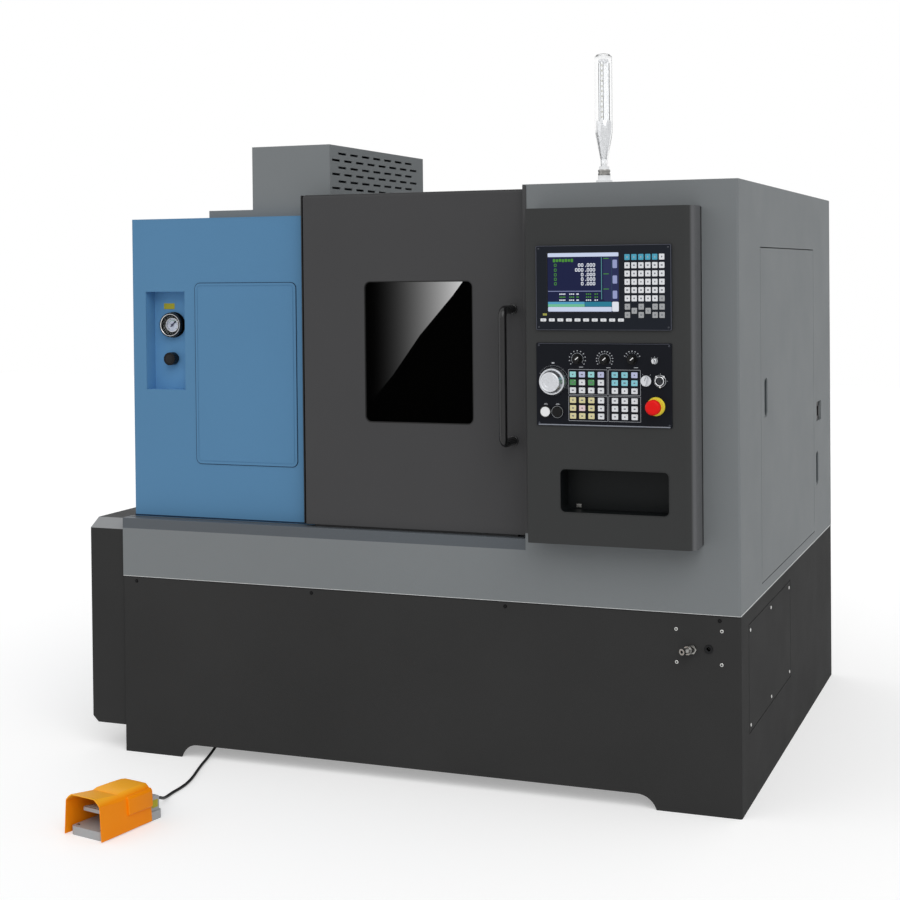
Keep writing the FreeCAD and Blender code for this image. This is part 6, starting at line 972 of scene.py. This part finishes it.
# glow over the whole core: painted light that makes it read whiter
dress(coat("strip_white_painted_glow", (236, 238, 240), 0.4, tone=0.03, past=((0, 0, -1), -1.86, (196, 198, 200), 0.004),
           glow=0.3), "lamp_core")
clear, tree, shader = new_material("clear_tube")
feed(tree, shader, {"Base Color": (0.985, 0.988, 0.99, 1), "Roughness": mottle(tree, 12.0, 0.01, 0.03),
                    "Transmission Weight": 1.0, "IOR": 1.45})
dress(clear, "lamp_tube")
satin = metal("reflector_satin", (222, 223, 225), 0.3, (1, 1, 10), 160, tone=0.05)
turned("lamp_reflector", [(0, 1869), (7.8, 1869), (21.8, 1949.5), (22.1, 1980), (21.2, 1982.2), (0, 1982.4)],
       LAMP_AXIS, UP, satin, 48)
turned("lamp_cap", [(0, 2153.2), (12, 2153.2), (15, 2154.5), (15, 2160), (13.8, 2161.6), (0, 2162)],
       LAMP_AXIS, UP, satin, 48)
for k in range(3):
    a = radians(30 + 120 * k)
    out = Vector((cos(a), sin(a), 0))
    over = Vector((-sin(a), cos(a), 0))
    for j in range(11):
        slab(LAMP_AXIS + out * 0.017 + Vector(UP) * (STRIPS_FROM_Z + 0.01 + 0.015 * j), 4.5, 6, 0.8,
             ((0, -0.2), (0, 0.8), (0.6, 1.3)), (over, UP, out), steps=2)
    for side in (-0.0037, 0.0037):
        slab(LAMP_AXIS + out * 0.0152 + over * side + Vector(UP) * (STRIPS_FROM_Z + 0.085), 1, 168, 0.3,
             ((0, 0), (0, 1.8)), (over, UP, out), 0.0, 1, 1)
led = coat("led_lens", (236, 236, 226), 0.2, 0.5, tone=0.03)
piece("lamp_leds", [led, hollow_shade_and_dark_rail])
turned("lamp_nut_rings", [(15, 1823.5), (17.6, 1823.5), (18, 1825), (18, 1829), (16.8, 1830), (16.8, 1833),
                          (18, 1834), (18, 1838.5), (17.2, 1840), (15, 1840)], LAMP_AXIS, UP, nickel,
       48, 25)

# -------- foot switch
# Die-cast grey base and pedal under a folded orange guard, with a plain tag on the base's side and
# two fixing screws. The guard's top is painted lighter and yellower, a painted light.
SWITCH_CORNER = Vector((-0.527, -1.573, 0.0))
# above 98 mm the orange turns lighter and yellower: painted light on the guard's top
orange_paint = coat("orange_paint", (252, 146, 10), 0.4, 0.14, tone=0.03,
                    past=(UP, 0.098, (255, 178, 42), 0.012))
dress(orange_paint, "foot_guard")
switch_side = Vector((cos(SWITCH_TURN), -sin(SWITCH_TURN), 0))
ACROSS_SWITCH = (switch_side, UP, switch_heading)
GUARD_SKIN = 0.0025
# depth, then half widths at the foot, shoulder and top, and the heights of shoulder and top
GUARD_RUN = [(0.0, 0.0715, 0.0655, 0.044, 0.0985, 0.117), (0.085, 0.0685, 0.063, 0.045, 0.091, 0.1055),
             (0.098, 0.068, 0.0622, 0.045, 0.093, 0.11), (0.15, 0.0655, 0.06, 0.044, 0.093, 0.1098),
             (0.19, 0.0638, 0.0582, 0.042, 0.092, 0.109), (0.2045, 0.063, 0.057, 0.04, 0.089, 0.1066)]


def on_switch(side, ahead, up):
    return SWITCH_CORNER + switch_side * side + switch_heading * ahead + Vector((0, 0, up))


def guard_section(foot, shoulder, top, shoulder_z, top_z):
    """Hoop of the guard: its outer line up and over, then its inner line back."""
    half = []
    for t in (0.0, 0.25, 0.5, 0.75, 1.0):
        bulge = 0.0016 * sin(pi * t)
        half.append((shoulder + (top - shoulder) * t + bulge * 0.6,
                     shoulder_z + (top_z - shoulder_z) * t + bulge))
    outer = [(foot, 0.003)] + half + [(top * 0.5, top_z + 0.0004)]
    inner = [(u - GUARD_SKIN, max(v - GUARD_SKIN, 0.003)) for u, v in outer]
    right = outer + [(-u, v) for u, v in reversed(outer)]
    left = [(-u, v) for u, v in inner] + list(reversed(inner))
    return right + left


GUARD_MID = on_switch(-0.072, 0, 0)
skin(GUARD_MID, [(guard_section(*row[1:]), row[0]) for row in GUARD_RUN], ACROSS_SWITCH)
plate = [(-0.054, 0.068), (0.054, 0.068), (0.053, 0.0855), (0.0285, 0.1015), (-0.0285, 0.1015),
         (-0.053, 0.0855)]
skin(GUARD_MID, [(plate, 0.2012), (plate, 0.2034)], ACROSS_SWITCH)
block = [(0.0565, 0.046), (0.069, 0.046), (0.0712, 0.049), (0.069, 0.09), (0.064, 0.097), (0.0565, 0.097)]
skin(GUARD_MID, [([(u - 0.0015, v) for u, v in block], 0.106), (block, 0.1085), (block, 0.196),
                 ([(u - 0.003, v) for u, v in block], 0.203)], ACROSS_SWITCH)
for u in (-0.0615, 0.0615):
    slab(on_switch(u - 0.072, 0.095, 0.003), 3, 110, 0.8, ((0, 0), (0, 2.6), (0.4, 3)),
         (switch_side, switch_heading, UP), steps=2)
guard_shell = piece("guard_shell", [orange_paint], 24)
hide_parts("foot_guard")
dress(coat("switch_grey", (168, 170, 172), 0.45, fine=700, peel=0.0001), "foot_base", "foot_pedal")
slab(on_switch(-0.019, 0.226, 0.044), 24, 22, 2, ((0, 0.1), (0.2, 0.7)), (switch_heading, UP, switch_side))
piece("switch_tag", [tag_yellow])
for dx in (-0.045, 0.045):
    turned_rings([(0, 0), (5, 0), (4.8, 1.8), (3.4, 3), (2, 3.2), (1.8, 1.6), (0, 1.6)],
                 on_switch(dx - 0.072, 0.026, 0.024), UP, 24)
piece("switch_screws", [nickel], 30)
